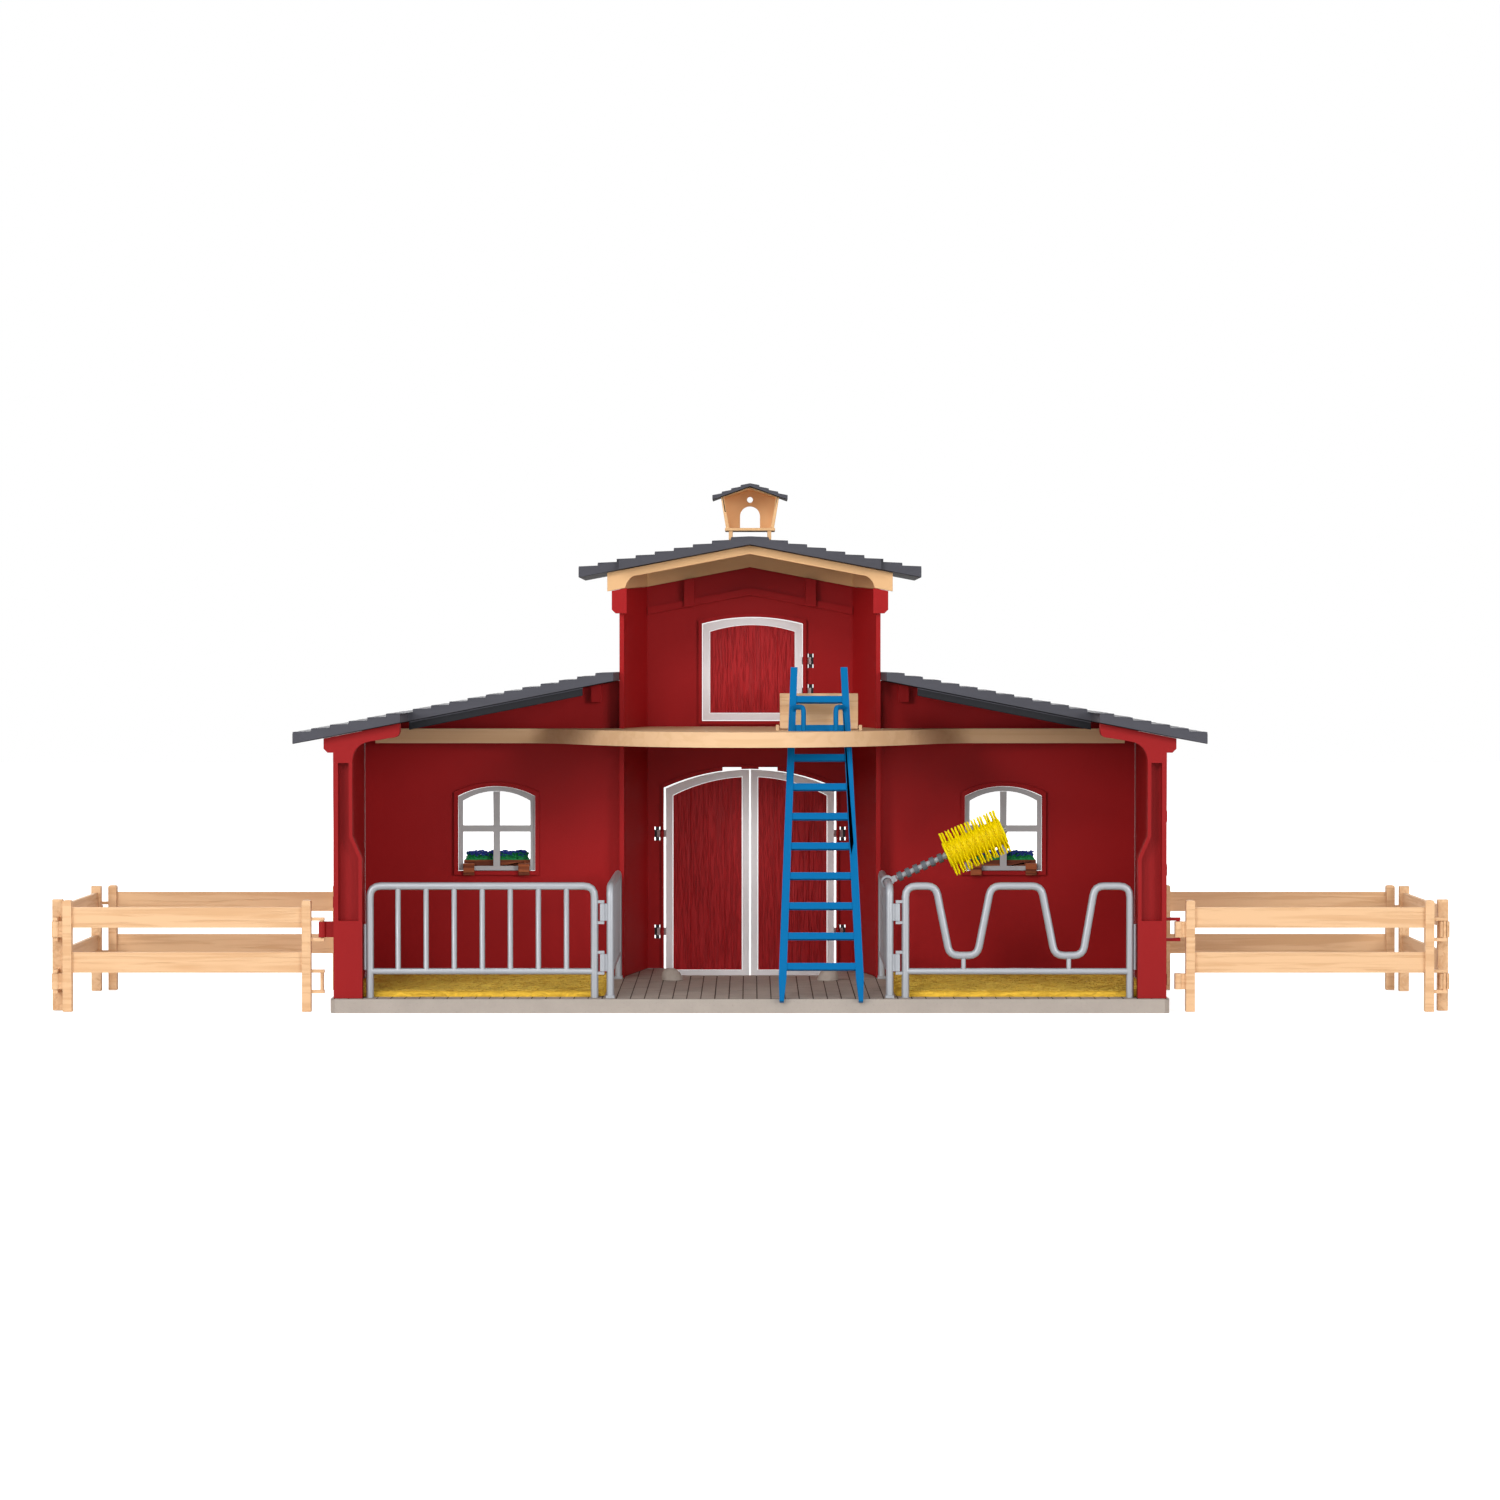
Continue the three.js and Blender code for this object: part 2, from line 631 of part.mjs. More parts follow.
function windowOutline(centre) {
  const half = WINDOW_WIDTH / 2;
  return [centre - half, centre + half, WINDOW_BOTTOM, WINDOW_SIDE_HEIGHT, WINDOW_RISE];
}

// A wing's back wall, with its window opening, a rim round it and a rib under the roof
function backWall(side) {
  const from = TOWER_SIDE + FIT_GAP;
  const to = SIDE - WALL - FIT_GAP;
  const top = (x) => wingUnder(x) - FIT_GAP;
  const shape = outline([
    [side * from, FLOOR], [side * to, FLOOR], [side * to, top(to)], [side * from, top(from)],
  ]);
  const y0 = BACK - WALL;
  const centre = side * WINDOW_PLACE;
  const frame = windowOutline(centre);
  const rim = plate(arched(...inset(...frame, -RIM_WIDTH)), y0 - RIM_PROUD, BACK);
  const hole = plate(arched(...inset(...frame, -FIT_GAP)), y0 - OVERRUN, BACK + OVERRUN);
  const ribAt = from + RIB_HEIGHT;
  const rib = plate(outline([
    [side * ribAt, top(ribAt) - RIB_HEIGHT], [side * (ribAt + RIB_WIDTH), top(ribAt) - RIB_HEIGHT],
    [side * (ribAt + RIB_WIDTH), top(ribAt + RIB_WIDTH)], [side * ribAt, top(ribAt)],
  ]), y0 - RIB_DEPTH, BACK);
  const name = side < 0 ? "left_back_wall" : "right_back_wall";
  place(name, join([plate(shape, y0, BACK), rim, rib]).subtract(hole), "red");
}

// Plan of the tower's three walls, open to the front, set in from the outside by a depth
function bayPlan(by) {
  const side = TOWER_SIDE - by;
  const back = BAY_BACK_WIDTH / 2 - by;
  return [[-side, BACK], [-back, BAY_BACK - by], [back, BAY_BACK - by], [side, BACK]];
}

function bayWalls(z0, z1, by = 0) {
  const outer = bayPlan(by);
  const inner = bayPlan(by + WALL).reverse();
  const side = TOWER_SIDE - by;
  const points = [[-side, TOWER_FRONT], ...outer, [side, TOWER_FRONT], [side - WALL, TOWER_FRONT], ...inner];
  return slab(outline([...points, [-side + WALL, TOWER_FRONT]]), z0, z1);
}

// The space above a line that follows the tower roof, lower by a drop
function aboveTower(drop, y0 = FRONT - OVERRUN, y1 = BAY_BACK + OVERRUN) {
  const wide = TOWER_WIDTH;
  const low = (x) => towerUnder(x) - drop;
  const top = 2 * RIDGE_HEIGHT;
  const line = [[-wide, low(wide)], [0, low(0)], [wide, low(wide)], [wide, top], [-wide, top]];
  return plate(outline(line), y0, y1);
}

function doorFrame(sideGap = 0, topGap = 0) {
  const half = DOOR_WIDTH / 2 + sideGap;
  return [-half, half, DOOR_BOTTOM, DOOR_SIDE_HEIGHT + topGap, DOOR_RISE];
}

function hatchFrame(margin = 0) {
  const half = HATCH_WIDTH / 2 + margin;
  const bottom = HATCH_BOTTOM - margin;
  return [HATCH_OFFSET - half, HATCH_OFFSET + half, bottom, HATCH_SIDE_HEIGHT + margin, HATCH_RISE];
}

const DOOR_AXIS_X = DOOR_WIDTH / 2 + HINGE_SET;
const HATCH_AXIS_X = HATCH_OFFSET + HATCH_WIDTH / 2 + HINGE_SET;
const HINGE_BARREL = HINGE_PIN_RADIUS + PIN_GAP + HINGE_RING;
const HINGE_Y = BAY_BACK + HINGE_BARREL + FIT_GAP;
const DOOR_HINGES = DOOR_HINGE_SHARE.map((s) => DOOR_BOTTOM + s * (DOOR_SIDE_HEIGHT - DOOR_BOTTOM));
const HATCH_HINGES = HATCH_HINGE_SHARE.map((s) => HATCH_BOTTOM + s * (HATCH_SIDE_HEIGHT - HATCH_BOTTOM));

// Two lugs on the outside of the wall that hold a hinge pin's ends
function hingeLugs(x, z) {
  const half = HINGE_PIN_HEIGHT / 2;
  const wide = HINGE_PIN_RADIUS + HINGE_RING;
  const lug = (low) => {
    const body = block(x - wide, x + wide, BAY_BACK - WALL / 2, HINGE_Y + wide, low, low + HINGE_LUG);
    return body.subtract(post(x, HINGE_Y, HINGE_PIN_RADIUS + FIT_GAP, low - OVERRUN, low + OVERRUN));
  };
  return lug(z - half).add(lug(z + half - HINGE_LUG));
}

// The slot in the wall behind a hinge pin, between its lugs
function hingeSlot(x, z) {
  const wide = HINGE_SLOT_WIDTH / 2;
  const tall = HINGE_PIN_HEIGHT / 2 - HINGE_LUG;
  return block(x - wide, x + wide, BAY_BACK - WALL - OVERRUN, BAY_BACK + OVERRUN, z - tall, z + tall);
}

// The tower's red shell, with both doorways, the surround of the upper one and the lugs of every hinge
function towerWall() {
  const parts = [bayWalls(FLOOR, RIDGE_HEIGHT).subtract(aboveTower(GABLE_HEIGHT))];
  const slots = [];
  const wallY = BAY_BACK - WALL;
  const cutFrom = wallY - OVERRUN;
  const cutTo = BAY_BACK + OVERRUN;
  const slitTop = DOOR_SIDE_HEIGHT + DOOR_RISE + DOOR_SLIT_HEIGHT;
  for (const side of [-1, 1]) {
    const low = towerUnder(TOWER_SIDE) - GABLE_HEIGHT - CORNER_DROP;
    const corner = new THREE.Shape();
    const out = side * (TOWER_SIDE + BRACKET_ROUND);
    const flush = side * (TOWER_SIDE - BRACKET_ROUND);
    corner.moveTo(flush, low);
    corner.lineTo(out - (side * BRACKET_ROUND) / 2, low);
    corner.lineTo(out, low + BRACKET_ROUND / 2);
    corner.lineTo(out, towerUnder(out) - GABLE_HEIGHT);
    corner.lineTo(flush, towerUnder(flush) - GABLE_HEIGHT);
    parts.push(plate(corner, TOWER_FRONT - TRUSS_DEPTH, TOWER_FRONT + WALL));
    for (const z of DOOR_HINGES) {
      parts.push(hingeLugs(side * DOOR_AXIS_X, z));
      slots.push(hingeSlot(side * DOOR_AXIS_X, z));
    }
    const near = side * DOOR_SLIT_PLACE - DOOR_SLIT_WIDTH / 2;
    slots.push(block(near, near + DOOR_SLIT_WIDTH, cutFrom, cutTo, DOOR_SIDE_HEIGHT, slitTop));
    const x = side * STUD_PLACE - GABLE_STUD / 2;
    const foot = towerUnder(STUD_PLACE) - GABLE_HEIGHT - LEDGE_DROP - LEDGE_HEIGHT;
    const stud = block(x, x + GABLE_STUD, wallY - RIB_DEPTH, BAY_BACK, foot, RIDGE_HEIGHT);
    parts.push(stud.subtract(aboveTower(GABLE_HEIGHT)));
  }
  for (const z of HATCH_HINGES) {
    parts.push(hingeLugs(HATCH_AXIS_X, z));
    slots.push(hingeSlot(HATCH_AXIS_X, z));
  }
  const half = BAY_BACK_WIDTH / 2 - WALL;
  const ledge = block(-half, half, wallY - LEDGE_OUT, BAY_BACK, FLOOR, RIDGE_HEIGHT);
  const ledgeTop = aboveTower(GABLE_HEIGHT + LEDGE_DROP);
  const ledgeFoot = aboveTower(GABLE_HEIGHT + LEDGE_DROP + LEDGE_HEIGHT);
  parts.push(ledge.subtract(ledgeTop).intersect(ledgeFoot));
  parts.push(plate(arched(...inset(...hatchFrame(), -RIM_WIDTH)), wallY - RIM_PROUD, BAY_BACK));
  const [left, right, , top, rise] = inset(...doorFrame(), -RIM_WIDTH);
  parts.push(plate(arched(left, right, FLOOR, top, rise), wallY - RIM_PROUD, BAY_BACK));
  const [x0, x1, , doorTop, doorRise] = doorFrame(DOOR_SIDE_GAP, DOOR_GAP);
  const doorway = plate(arched(x0, x1, 0, doorTop, doorRise), cutFrom, cutTo);
  const hatchway = plate(arched(...hatchFrame(DOOR_GAP)), cutFrom, cutTo);
  place("tower_wall", join(parts).subtract(join([doorway, hatchway, ...slots])), "red");
}

// The timber gable: an infill strip on top of the tower's walls and a bargeboard across its open front
function towerGable() {
  const under = aboveTower(FIT_GAP);
  const rest = GABLE_HEIGHT - FIT_GAP;
  const strip = bayWalls(FLOOR, RIDGE_HEIGHT).subtract(under).intersect(aboveTower(rest));
  const half = TOWER_SIDE + TRUSS_OUT;
  const foot = half - TRUSS_FOOT;
  const low = (x) => towerUnder(x) - FIT_GAP - TRUSS_BOARD;
  const bottom = towerUnder(half) - rest;
  const board = new THREE.Shape();
  board.moveTo(-half, bottom);
  board.lineTo(-foot, towerUnder(foot) - rest);
  const swing = (side) => {
    const inX = side * (foot - TRUSS_ARC);
    return [side * foot, low(foot) - TRUSS_ARC / 2, inX, low(inX)];
  };
  const [lx, lz, ix, iz] = swing(-1);
  board.quadraticCurveTo(lx + TRUSS_ARC / 4, iz, ix, iz);
  board.lineTo(0, low(0));
  board.lineTo(-ix, iz);
  board.quadraticCurveTo(-lx - TRUSS_ARC / 4, iz, foot, towerUnder(foot) - rest);
  board.lineTo(half, bottom);
  board.lineTo(half, towerUnder(half) - FIT_GAP);
  board.lineTo(0, towerUnder(0) - FIT_GAP);
  board.lineTo(-half, towerUnder(half) - FIT_GAP);
  const truss = plate(board, TOWER_FRONT - TRUSS_DEPTH, TOWER_FRONT + WALL);
  place("tower_gable", strip.add(truss), "timber");
}

// Profile of a slope of tile courses, from the eave up: along is the level distance from the eave
function courses(length, count, underAt, step, plateHeight, slope) {
  const top = [];
  const lift = plateHeight / Math.cos(slope);
  const rise = step / Math.cos(slope);
  for (let i = 0; i < count; i += 1) {
    const start = (length * i) / count;
    const end = (length * (i + 1)) / count;
    top.push([start, underAt(start) + lift + rise], [end, underAt(end) + lift]);
  }
  return top;
}

function wingRoof(side) {
  const eave = SIDE + WING_OVERHANG;
  const inner = TOWER_SIDE + FIT_GAP;
  const length = eave - inner;
  const under = (along) => wingUnder(eave - along);
  const top = courses(length, WING_COURSES, under, TILE_STEP, ROOF_PLATE, WING_SLOPE);
  const line = top.map(([along, z]) => [side * (eave - along), z]);
  const y0 = FRONT - ROOF_FRONT_OVERHANG;
  const shape = outline([[side * eave, under(0)], ...line, [side * inner, under(length)]]);
  const body = plate(shape, y0, BACK + ROOF_BACK_OVERHANG);
  const cutX = ordered(side * ROOF_CUT_FROM, side * (inner - OVERRUN));
  const cutY = y0 + ROOF_CUT_BACK;
  const cut = block(...cutX, y0 - OVERRUN, cutY, FLOOR, RIDGE_HEIGHT);
  const skirtTo = inner + SKIRT_SHORT;
  const skirt = plate(outline([
    [side * ROOF_CUT_FROM, wingUnder(ROOF_CUT_FROM) - SKIRT_HEIGHT],
    [side * ROOF_CUT_FROM, wingUnder(ROOF_CUT_FROM) + SKIRT_WIDTH],
    [side * skirtTo, wingUnder(skirtTo) + SKIRT_WIDTH],
    [side * skirtTo, wingUnder(skirtTo) - SKIRT_HEIGHT],
  ]), cutY + SKIRT_WIDTH, cutY + 2 * SKIRT_WIDTH);
  const name = side < 0 ? "left_wing_roof" : "right_wing_roof";
  place(name, body.subtract(cut).add(skirt), "slate");
}

function towerRoof() {
  const eave = TOWER_SIDE + TOWER_EAVE;
  const under = (along) => towerUnder(eave - along);
  const right = courses(eave, TOWER_COURSES, under, TILE_STEP, ROOF_PLATE, TOWER_SLOPE);
  const line = right.map(([along, z]) => [eave - along, z]);
  const left = line.map(([x, z]) => [-x, z]).reverse();
  left.shift();
  const shape = outline([[-eave, under(0)], [0, RIDGE_HEIGHT], [eave, under(0)], ...line, ...left]);
  const front = TOWER_FRONT - TOWER_ROOF_FRONT;
  const body = plate(shape, front, BAY_BACK + TOWER_ROOF_BACK);
  const cuts = [-1, 1].map((side) => {
    const edges = ordered(side * TOWER_SIDE, side * (eave + OVERRUN));
    return block(...edges, front - OVERRUN, front + TOWER_ROOF_STEP, FLOOR, 2 * RIDGE_HEIGHT);
  });
  place("tower_roof", body.subtract(join(cuts)), "slate");
}

// The little house on the ridge: a tapered box on legs, open to the front with an arched doorway in its
// back wall, and its roof
const CUPOLA_Y = TOWER_FRONT + CUPOLA_BACK;
const CUPOLA_TILE_TOP = RIDGE_HEIGHT + (ROOF_PLATE + TILE_STEP) / Math.cos(TOWER_SLOPE);
const CUPOLA_FLOOR = CUPOLA_TILE_TOP + CUPOLA_LEG;
const CUPOLA_SLOPE = Math.atan(CUPOLA_PEAK / (CUPOLA_TOP_WIDTH / 2));
const cupolaUnder = (x) =>
  CUPOLA_FLOOR + CUPOLA_WALL_HEIGHT + CUPOLA_PEAK - Math.abs(x) * Math.tan(CUPOLA_SLOPE);

function cupola() {
  const y0 = CUPOLA_Y - CUPOLA_DEPTH / 2;
  const y1 = CUPOLA_Y + CUPOLA_DEPTH / 2;
  const halfTop = CUPOLA_TOP_WIDTH / 2;
  const halfLow = CUPOLA_FLOOR_WIDTH / 2;
  const gap = FIT_GAP;
  const house = (by) => outline([
    [-halfLow + by, CUPOLA_FLOOR + by], [halfLow - by, CUPOLA_FLOOR + by],
    [halfTop - by, cupolaUnder(halfTop) - gap], [0, cupolaUnder(0) - gap - by / 2],
    [-halfTop + by, cupolaUnder(halfTop) - gap],
  ]);
  const room = plate(house(CUPOLA_WALL), y0 - OVERRUN, y1 - CUPOLA_WALL);
  const body = plate(house(0), y0, y1).subtract(room);
  const half = CUPOLA_ARCH_WIDTH / 2;
  const arch = new THREE.Shape();
  arch.moveTo(-half, CUPOLA_FLOOR + CUPOLA_WALL);
  arch.lineTo(half, CUPOLA_FLOOR + CUPOLA_WALL);
  arch.absarc(0, CUPOLA_FLOOR + CUPOLA_ARCH_HEIGHT - half, half, 0, Math.PI);
  arch.closePath();
  const hole = new THREE.Shape();
  hole.absarc(0, CUPOLA_FLOOR + CUPOLA_HOLE_HEIGHT, CUPOLA_HOLE_RADIUS, 0, Math.PI * 2);
  const cuts = [arch, hole].map((shape) => plate(shape, y0 - OVERRUN, y1 + OVERRUN));
  const sill = CUPOLA_FLOOR_OUT;
  const floorTop = CUPOLA_FLOOR + CUPOLA_WALL;
  const floor = block(-halfLow - sill, halfLow + sill, y0 - sill, y1 + sill, CUPOLA_FLOOR, floorTop);
  const legs = [];
  for (const side of [-1, 1]) {
    const out = side * (halfLow - CUPOLA_LEG_SET);
    const edges = ordered(out, out - side * CUPOLA_LEG_WIDTH);
    for (const y of [y0, y1 - CUPOLA_LEG_WIDTH]) {
      legs.push(block(...edges, y, y + CUPOLA_LEG_WIDTH, RIDGE_HEIGHT, CUPOLA_FLOOR + gap));
    }
  }
  const roofLine = (x) => towerUnder(x) + CUPOLA_TILE_TOP - RIDGE_HEIGHT + gap;
  const wide = CUPOLA_FLOOR_WIDTH;
  const below = plate(outline([
    [-wide, roofLine(wide)], [-wide, 0], [wide, 0], [wide, roofLine(wide)], [0, roofLine(0)],
  ]), y0 - OVERRUN, y1 + OVERRUN);
  place("cupola_house", join([body.subtract(join(cuts)), floor, ...legs]).subtract(below), "timber");

  const eave = CUPOLA_ROOF_WIDTH / 2;
  const under = (along) => cupolaUnder(eave - along);
  const right = courses(eave, CUPOLA_COURSES, under, CUPOLA_TILE_STEP, CUPOLA_ROOF_PLATE, CUPOLA_SLOPE);
  const line = right.map(([along, z]) => [eave - along, z]);
  const left = line.map(([x, z]) => [-x, z]).reverse();
  left.shift();
  const shape = outline([[-eave, under(0)], [0, cupolaUnder(0)], [eave, under(0)], ...line, ...left]);
  const halfDepth = CUPOLA_ROOF_DEPTH / 2;
  place("cupola_roof", plate(shape, CUPOLA_Y - halfDepth, CUPOLA_Y + halfDepth), "slate");
}

// A door leaf as a white frame round a red panel, with knuckles that turn on the wall's hinge pins
function leaf(name, frame, span, hinges, axisX) {
  const y0 = BAY_BACK - DOOR_THICK;
  const cutFrom = y0 - OVERRUN;
  const cutTo = BAY_BACK + OVERRUN;
  const between = (by) => block(span[0] + by, span[1] - by, cutFrom, cutTo, 0, RIDGE_HEIGHT);
  const hole = plate(arched(...inset(...frame, DOOR_FRAME)), cutFrom, cutTo).intersect(between(DOOR_FRAME));
  const ring = plate(arched(...frame), y0, BAY_BACK).intersect(between(0)).subtract(hole);
  const side = axisX > span[1] ? 1 : -1;
  const root = (side > 0 ? span[1] : span[0]) - (side * DOOR_FRAME) / 2;
  const knuckles = hinges.map((z) => {
    const low = z - HINGE_KNUCKLE_HEIGHT / 2;
    const high = z + HINGE_KNUCKLE_HEIGHT / 2;
    const out = HINGE_Y + HINGE_RING;
    const arm = block(...ordered(axisX, root), BAY_BACK + FIT_GAP, out, low, high);
    const heel = block(...ordered(root, root + side * HINGE_HEEL), y0 + DOOR_THICK / 2, out, low, high);
    const barrel = post(axisX, HINGE_Y, HINGE_BARREL, low, high);
    const bore = post(axisX, HINGE_Y, HINGE_PIN_RADIUS + PIN_GAP, low - OVERRUN, high + OVERRUN);
    return join([arm, heel, barrel]).subtract(bore);
  });
  place(`${name}_frame`, join([ring, ...knuckles]), "white");
  const set = DOOR_FRAME + FIT_GAP;
  const panel = plate(arched(...inset(...frame, set)), y0 + DOOR_FRAME_PROUD, BAY_BACK - DOOR_FRAME_PROUD);
  place(`${name}_panel`, panel.intersect(between(set)), "red");
}

function doors() {
  const frame = doorFrame();
  const half = DOOR_WIDTH / 2;
  leaf("left_door", frame, [-half, -DOOR_GAP], DOOR_HINGES, -DOOR_AXIS_X);
  leaf("right_door", frame, [DOOR_GAP, half], DOOR_HINGES, DOOR_AXIS_X);
  const upper = hatchFrame();
  leaf("loft_door", upper, [upper[0], upper[1]], HATCH_HINGES, HATCH_AXIS_X);
  const pin = (name, x, z) => {
    const reach = HINGE_PIN_HEIGHT / 2;
    place(name, post(x, HINGE_Y, HINGE_PIN_RADIUS, z - reach, z + reach), "dark");
  };
  DOOR_HINGES.forEach((z, i) => pin(`left_door_pin_${i + 1}`, -DOOR_AXIS_X, z));
  DOOR_HINGES.forEach((z, i) => pin(`right_door_pin_${i + 1}`, DOOR_AXIS_X, z));
  HATCH_HINGES.forEach((z, i) => pin(`loft_door_pin_${i + 1}`, HATCH_AXIS_X, z));
}

// A window frame of four panes, and the flower box that hooks over its sill
function windowFrame(side) {
  const centre = side * WINDOW_PLACE;
  const frame = windowOutline(centre);
  const [x0, x1, bottom, top, rise] = frame;
  const y0 = BACK - WALL + (WALL - WINDOW_THICK) / 2;
  const y1 = y0 + WINDOW_THICK;
  const glass = plate(arched(...inset(...frame, WINDOW_FRAME)), y0 - OVERRUN, y1 + OVERRUN);
  const half = WINDOW_BAR / 2;
  const middle = (bottom + top + rise) / 2;
  const bars = [
    block(centre - half, centre + half, y0, y1, bottom, top + rise / 2),
    block(x0 + half, x1 - half, y0, y1, middle - half, middle + half),
  ];
  const name = side < 0 ? "left_window_frame" : "right_window_frame";
  place(name, join([plate(arched(...frame), y0, y1).subtract(glass), ...bars]), "white");
}

function planter(side) {
  const name = side < 0 ? "left" : "right";
  const centre = side * WINDOW_PLACE;
  const x0 = centre - PLANTER_WIDTH / 2;
  const x1 = centre + PLANTER_WIDTH / 2;
  const y0 = BACK + FIT_GAP;
  const y1 = y0 + PLANTER_DEPTH;
  const sill = WINDOW_BOTTOM + WINDOW_FRAME + FIT_GAP;
  const top = sill + PLANTER_LIP;
  const low = top - PLANTER_HEIGHT;
  const trough = outline([[y0, low], [y1 - PLANTER_WALL, low], [y1, top], [y0, top]]);
  const hollow = outline([
    [y0 + PLANTER_WALL, low + PLANTER_WALL], [y1 - 2 * PLANTER_WALL, low + PLANTER_WALL],
    [y1 - PLANTER_WALL, top + OVERRUN], [y0 + PLANTER_WALL, top + OVERRUN],
  ]);
  const box = sheet(trough, x0, x1).subtract(sheet(hollow, x0 + PLANTER_WALL, x1 - PLANTER_WALL));
  const inFace = BACK - WALL - RIM_PROUD - FIT_GAP;
  const over = sill + PLANTER_WALL;
  const hooks = [x0, x1 - PLANTER_HOOK].map((x) => {
    const strap = block(x, x + PLANTER_HOOK, inFace - PLANTER_WALL, y0 + PLANTER_WALL, sill, over);
    const drop = block(x, x + PLANTER_HOOK, inFace - PLANTER_WALL, inFace, over - PLANTER_HOOK_DROP, over);
    return strap.add(drop);
  });
  place(`${name}_planter`, join([box, ...hooks]), "brown");

  const inX0 = x0 + PLANTER_WALL + FIT_GAP;
  const inX1 = x1 - PLANTER_WALL - FIT_GAP;
  const leafTop = top + LEAF_HEIGHT / 2;
  const foliage = new THREE.Shape();
  foliage.moveTo(inX0, top - LEAF_HEIGHT / 2);
  foliage.lineTo(inX1, top - LEAF_HEIGHT / 2);
  const pitch = (inX1 - inX0) / LEAF_LUMPS;
  for (let i = LEAF_LUMPS; i > 0; i -= 1) {
    const from = inX0 + i * pitch;
    foliage.lineTo(from, leafTop);
    foliage.quadraticCurveTo(from - pitch / 2, leafTop + 2 * LEAF_LUMP, from - pitch, leafTop);
  }
  const leafY0 = y0 + PLANTER_WALL + FIT_GAP;
  const leafY1 = y1 - 2 * PLANTER_WALL - FIT_GAP;
  const middle = (leafY0 + leafY1) / 2;
  const flowers = (by) => {
    const wide = BLOOM_STALK / 2 + by;
    const edges = [inX0 + pitch / 2 - by, inX1 - pitch / 2 + by];
    const stalk = block(...edges, middle - wide, middle + wide, leafTop - by, leafTop + BLOOM_RADIUS);
    const blooms = [stalk];
    for (let i = 0; i < LEAF_LUMPS; i += 1) {
      const ball = new THREE.OctahedronGeometry(BLOOM_RADIUS + by);
      const odd = i % 2;
      const y = odd ? middle + BLOOM_SWAY : middle - BLOOM_SWAY;
      blooms.push(solid(ball.translate(inX0 + i * pitch + pitch / 2, y, leafTop + BLOOM_LIFTS[odd])));
    }
    return join(blooms);
  };
  const green = plate(foliage, leafY0, leafY1, LEAF_CURVE_STEPS);
  place(`${name}_foliage`, green.subtract(flowers(FIT_GAP)), "leaf");
  place(`${name}_flowers`, flowers(0), "bloom");
}

// The loft: a shelf along the back walls that swells into a bowed balcony and runs back into the tower
const trapY = FRONT + TRAP_PLACE;

function loft() {
  const gap = FIT_GAP;
  const back = BACK - WALL - RIM_PROUD - gap;
  const shelf = BACK - WALL - LOFT_SHELF;
  const end = SIDE - (LOFT_TOP + gap - WING_EAVE_HEIGHT) / Math.tan(WING_SLOPE);
  const inside = bayPlan(WALL + RIM_PROUD + gap);
  const start = LOFT_HALF_BELL * LOFT_BELL_START_SHARE;
  const stop = LOFT_HALF_BELL * LOFT_BELL_END_SHARE;
  const outer = TOWER_SIDE + gap;
  const inner = TOWER_SIDE - WALL - gap;
  const edge = (by) => {
    const shape = new THREE.Shape();
    const front = shelf - (LOFT_REACH - LOFT_SHELF) + by;
    const side = shelf + by;
    const stub = TOWER_FRONT - gap - by;
    shape.moveTo(-end + by, side);
    shape.lineTo(-LOFT_HALF_BELL, side);
    shape.bezierCurveTo(-start, side, -stop, front, 0, front);
    shape.bezierCurveTo(stop, front, start, side, LOFT_HALF_BELL, side);
    shape.lineTo(end - by, side);
    shape.lineTo(end - by, back - by);
    shape.lineTo(outer, back - by);
    shape.lineTo(outer, stub);
    shape.lineTo(inner, stub);
    shape.lineTo(inner - by, BACK);
    shape.lineTo(inside[2][0] - by, inside[2][1] - by);
    shape.lineTo(inside[1][0] + by, inside[1][1] - by);
    shape.lineTo(-inner + by, BACK);
    shape.lineTo(-inner, stub);
    shape.lineTo(-outer, stub);
    shape.lineTo(-outer, back - by);
    shape.lineTo(-end + by, back - by);
    shape.closePath();
    return shape;
  };
  const under = LOFT_TOP - LOFT_LIP;
  const whole = slab(edge(0), under, LOFT_TOP, LOFT_CURVE_STEPS);
  const hollow = slab(edge(LOFT_LIP_WIDTH), under - OVERRUN, LOFT_TOP - LOFT_SKIN, LOFT_CURVE_STEPS);
  const x0 = LADDER_PLACE - TRAP_WIDTH / 2 - gap;
  const x1 = LADDER_PLACE + TRAP_WIDTH / 2 + gap;
  const hole = block(x0, x1, trapY - TRAP_HOLE, trapY - TRAP_THICK / 2, 0, RIDGE_HEIGHT);
  const wide = 2 * TRAP_PIN_RADIUS;
  const lugTop = LOFT_TOP + 2 * TRAP_LIFT;
  const lugs = [x0 - TRAP_PIN_LENGTH, x1].map((x) =>
    block(x, x + TRAP_PIN_LENGTH, trapY - wide, trapY + wide, LOFT_TOP - LOFT_SKIN, lugTop));
  const run = 2 * TRAP_PIN_LENGTH;
  const pinHole = trapPin(x0 - run, x1 + run, TRAP_PIN_RADIUS + PIN_GAP);
  const shelfBody = join([whole.subtract(hollow).subtract(hole), ...lugs]);
  place("loft_platform", shelfBody.subtract(pinHole), "timber");
}

function trapPin(x0, x1, radius) {
  const geometry = new THREE.CylinderGeometry(radius, radius, x1 - x0, RING_SIDES).rotateZ(Math.PI / 2);
  return solid(geometry.translate((x0 + x1) / 2, trapY, LOFT_TOP + TRAP_LIFT));
}

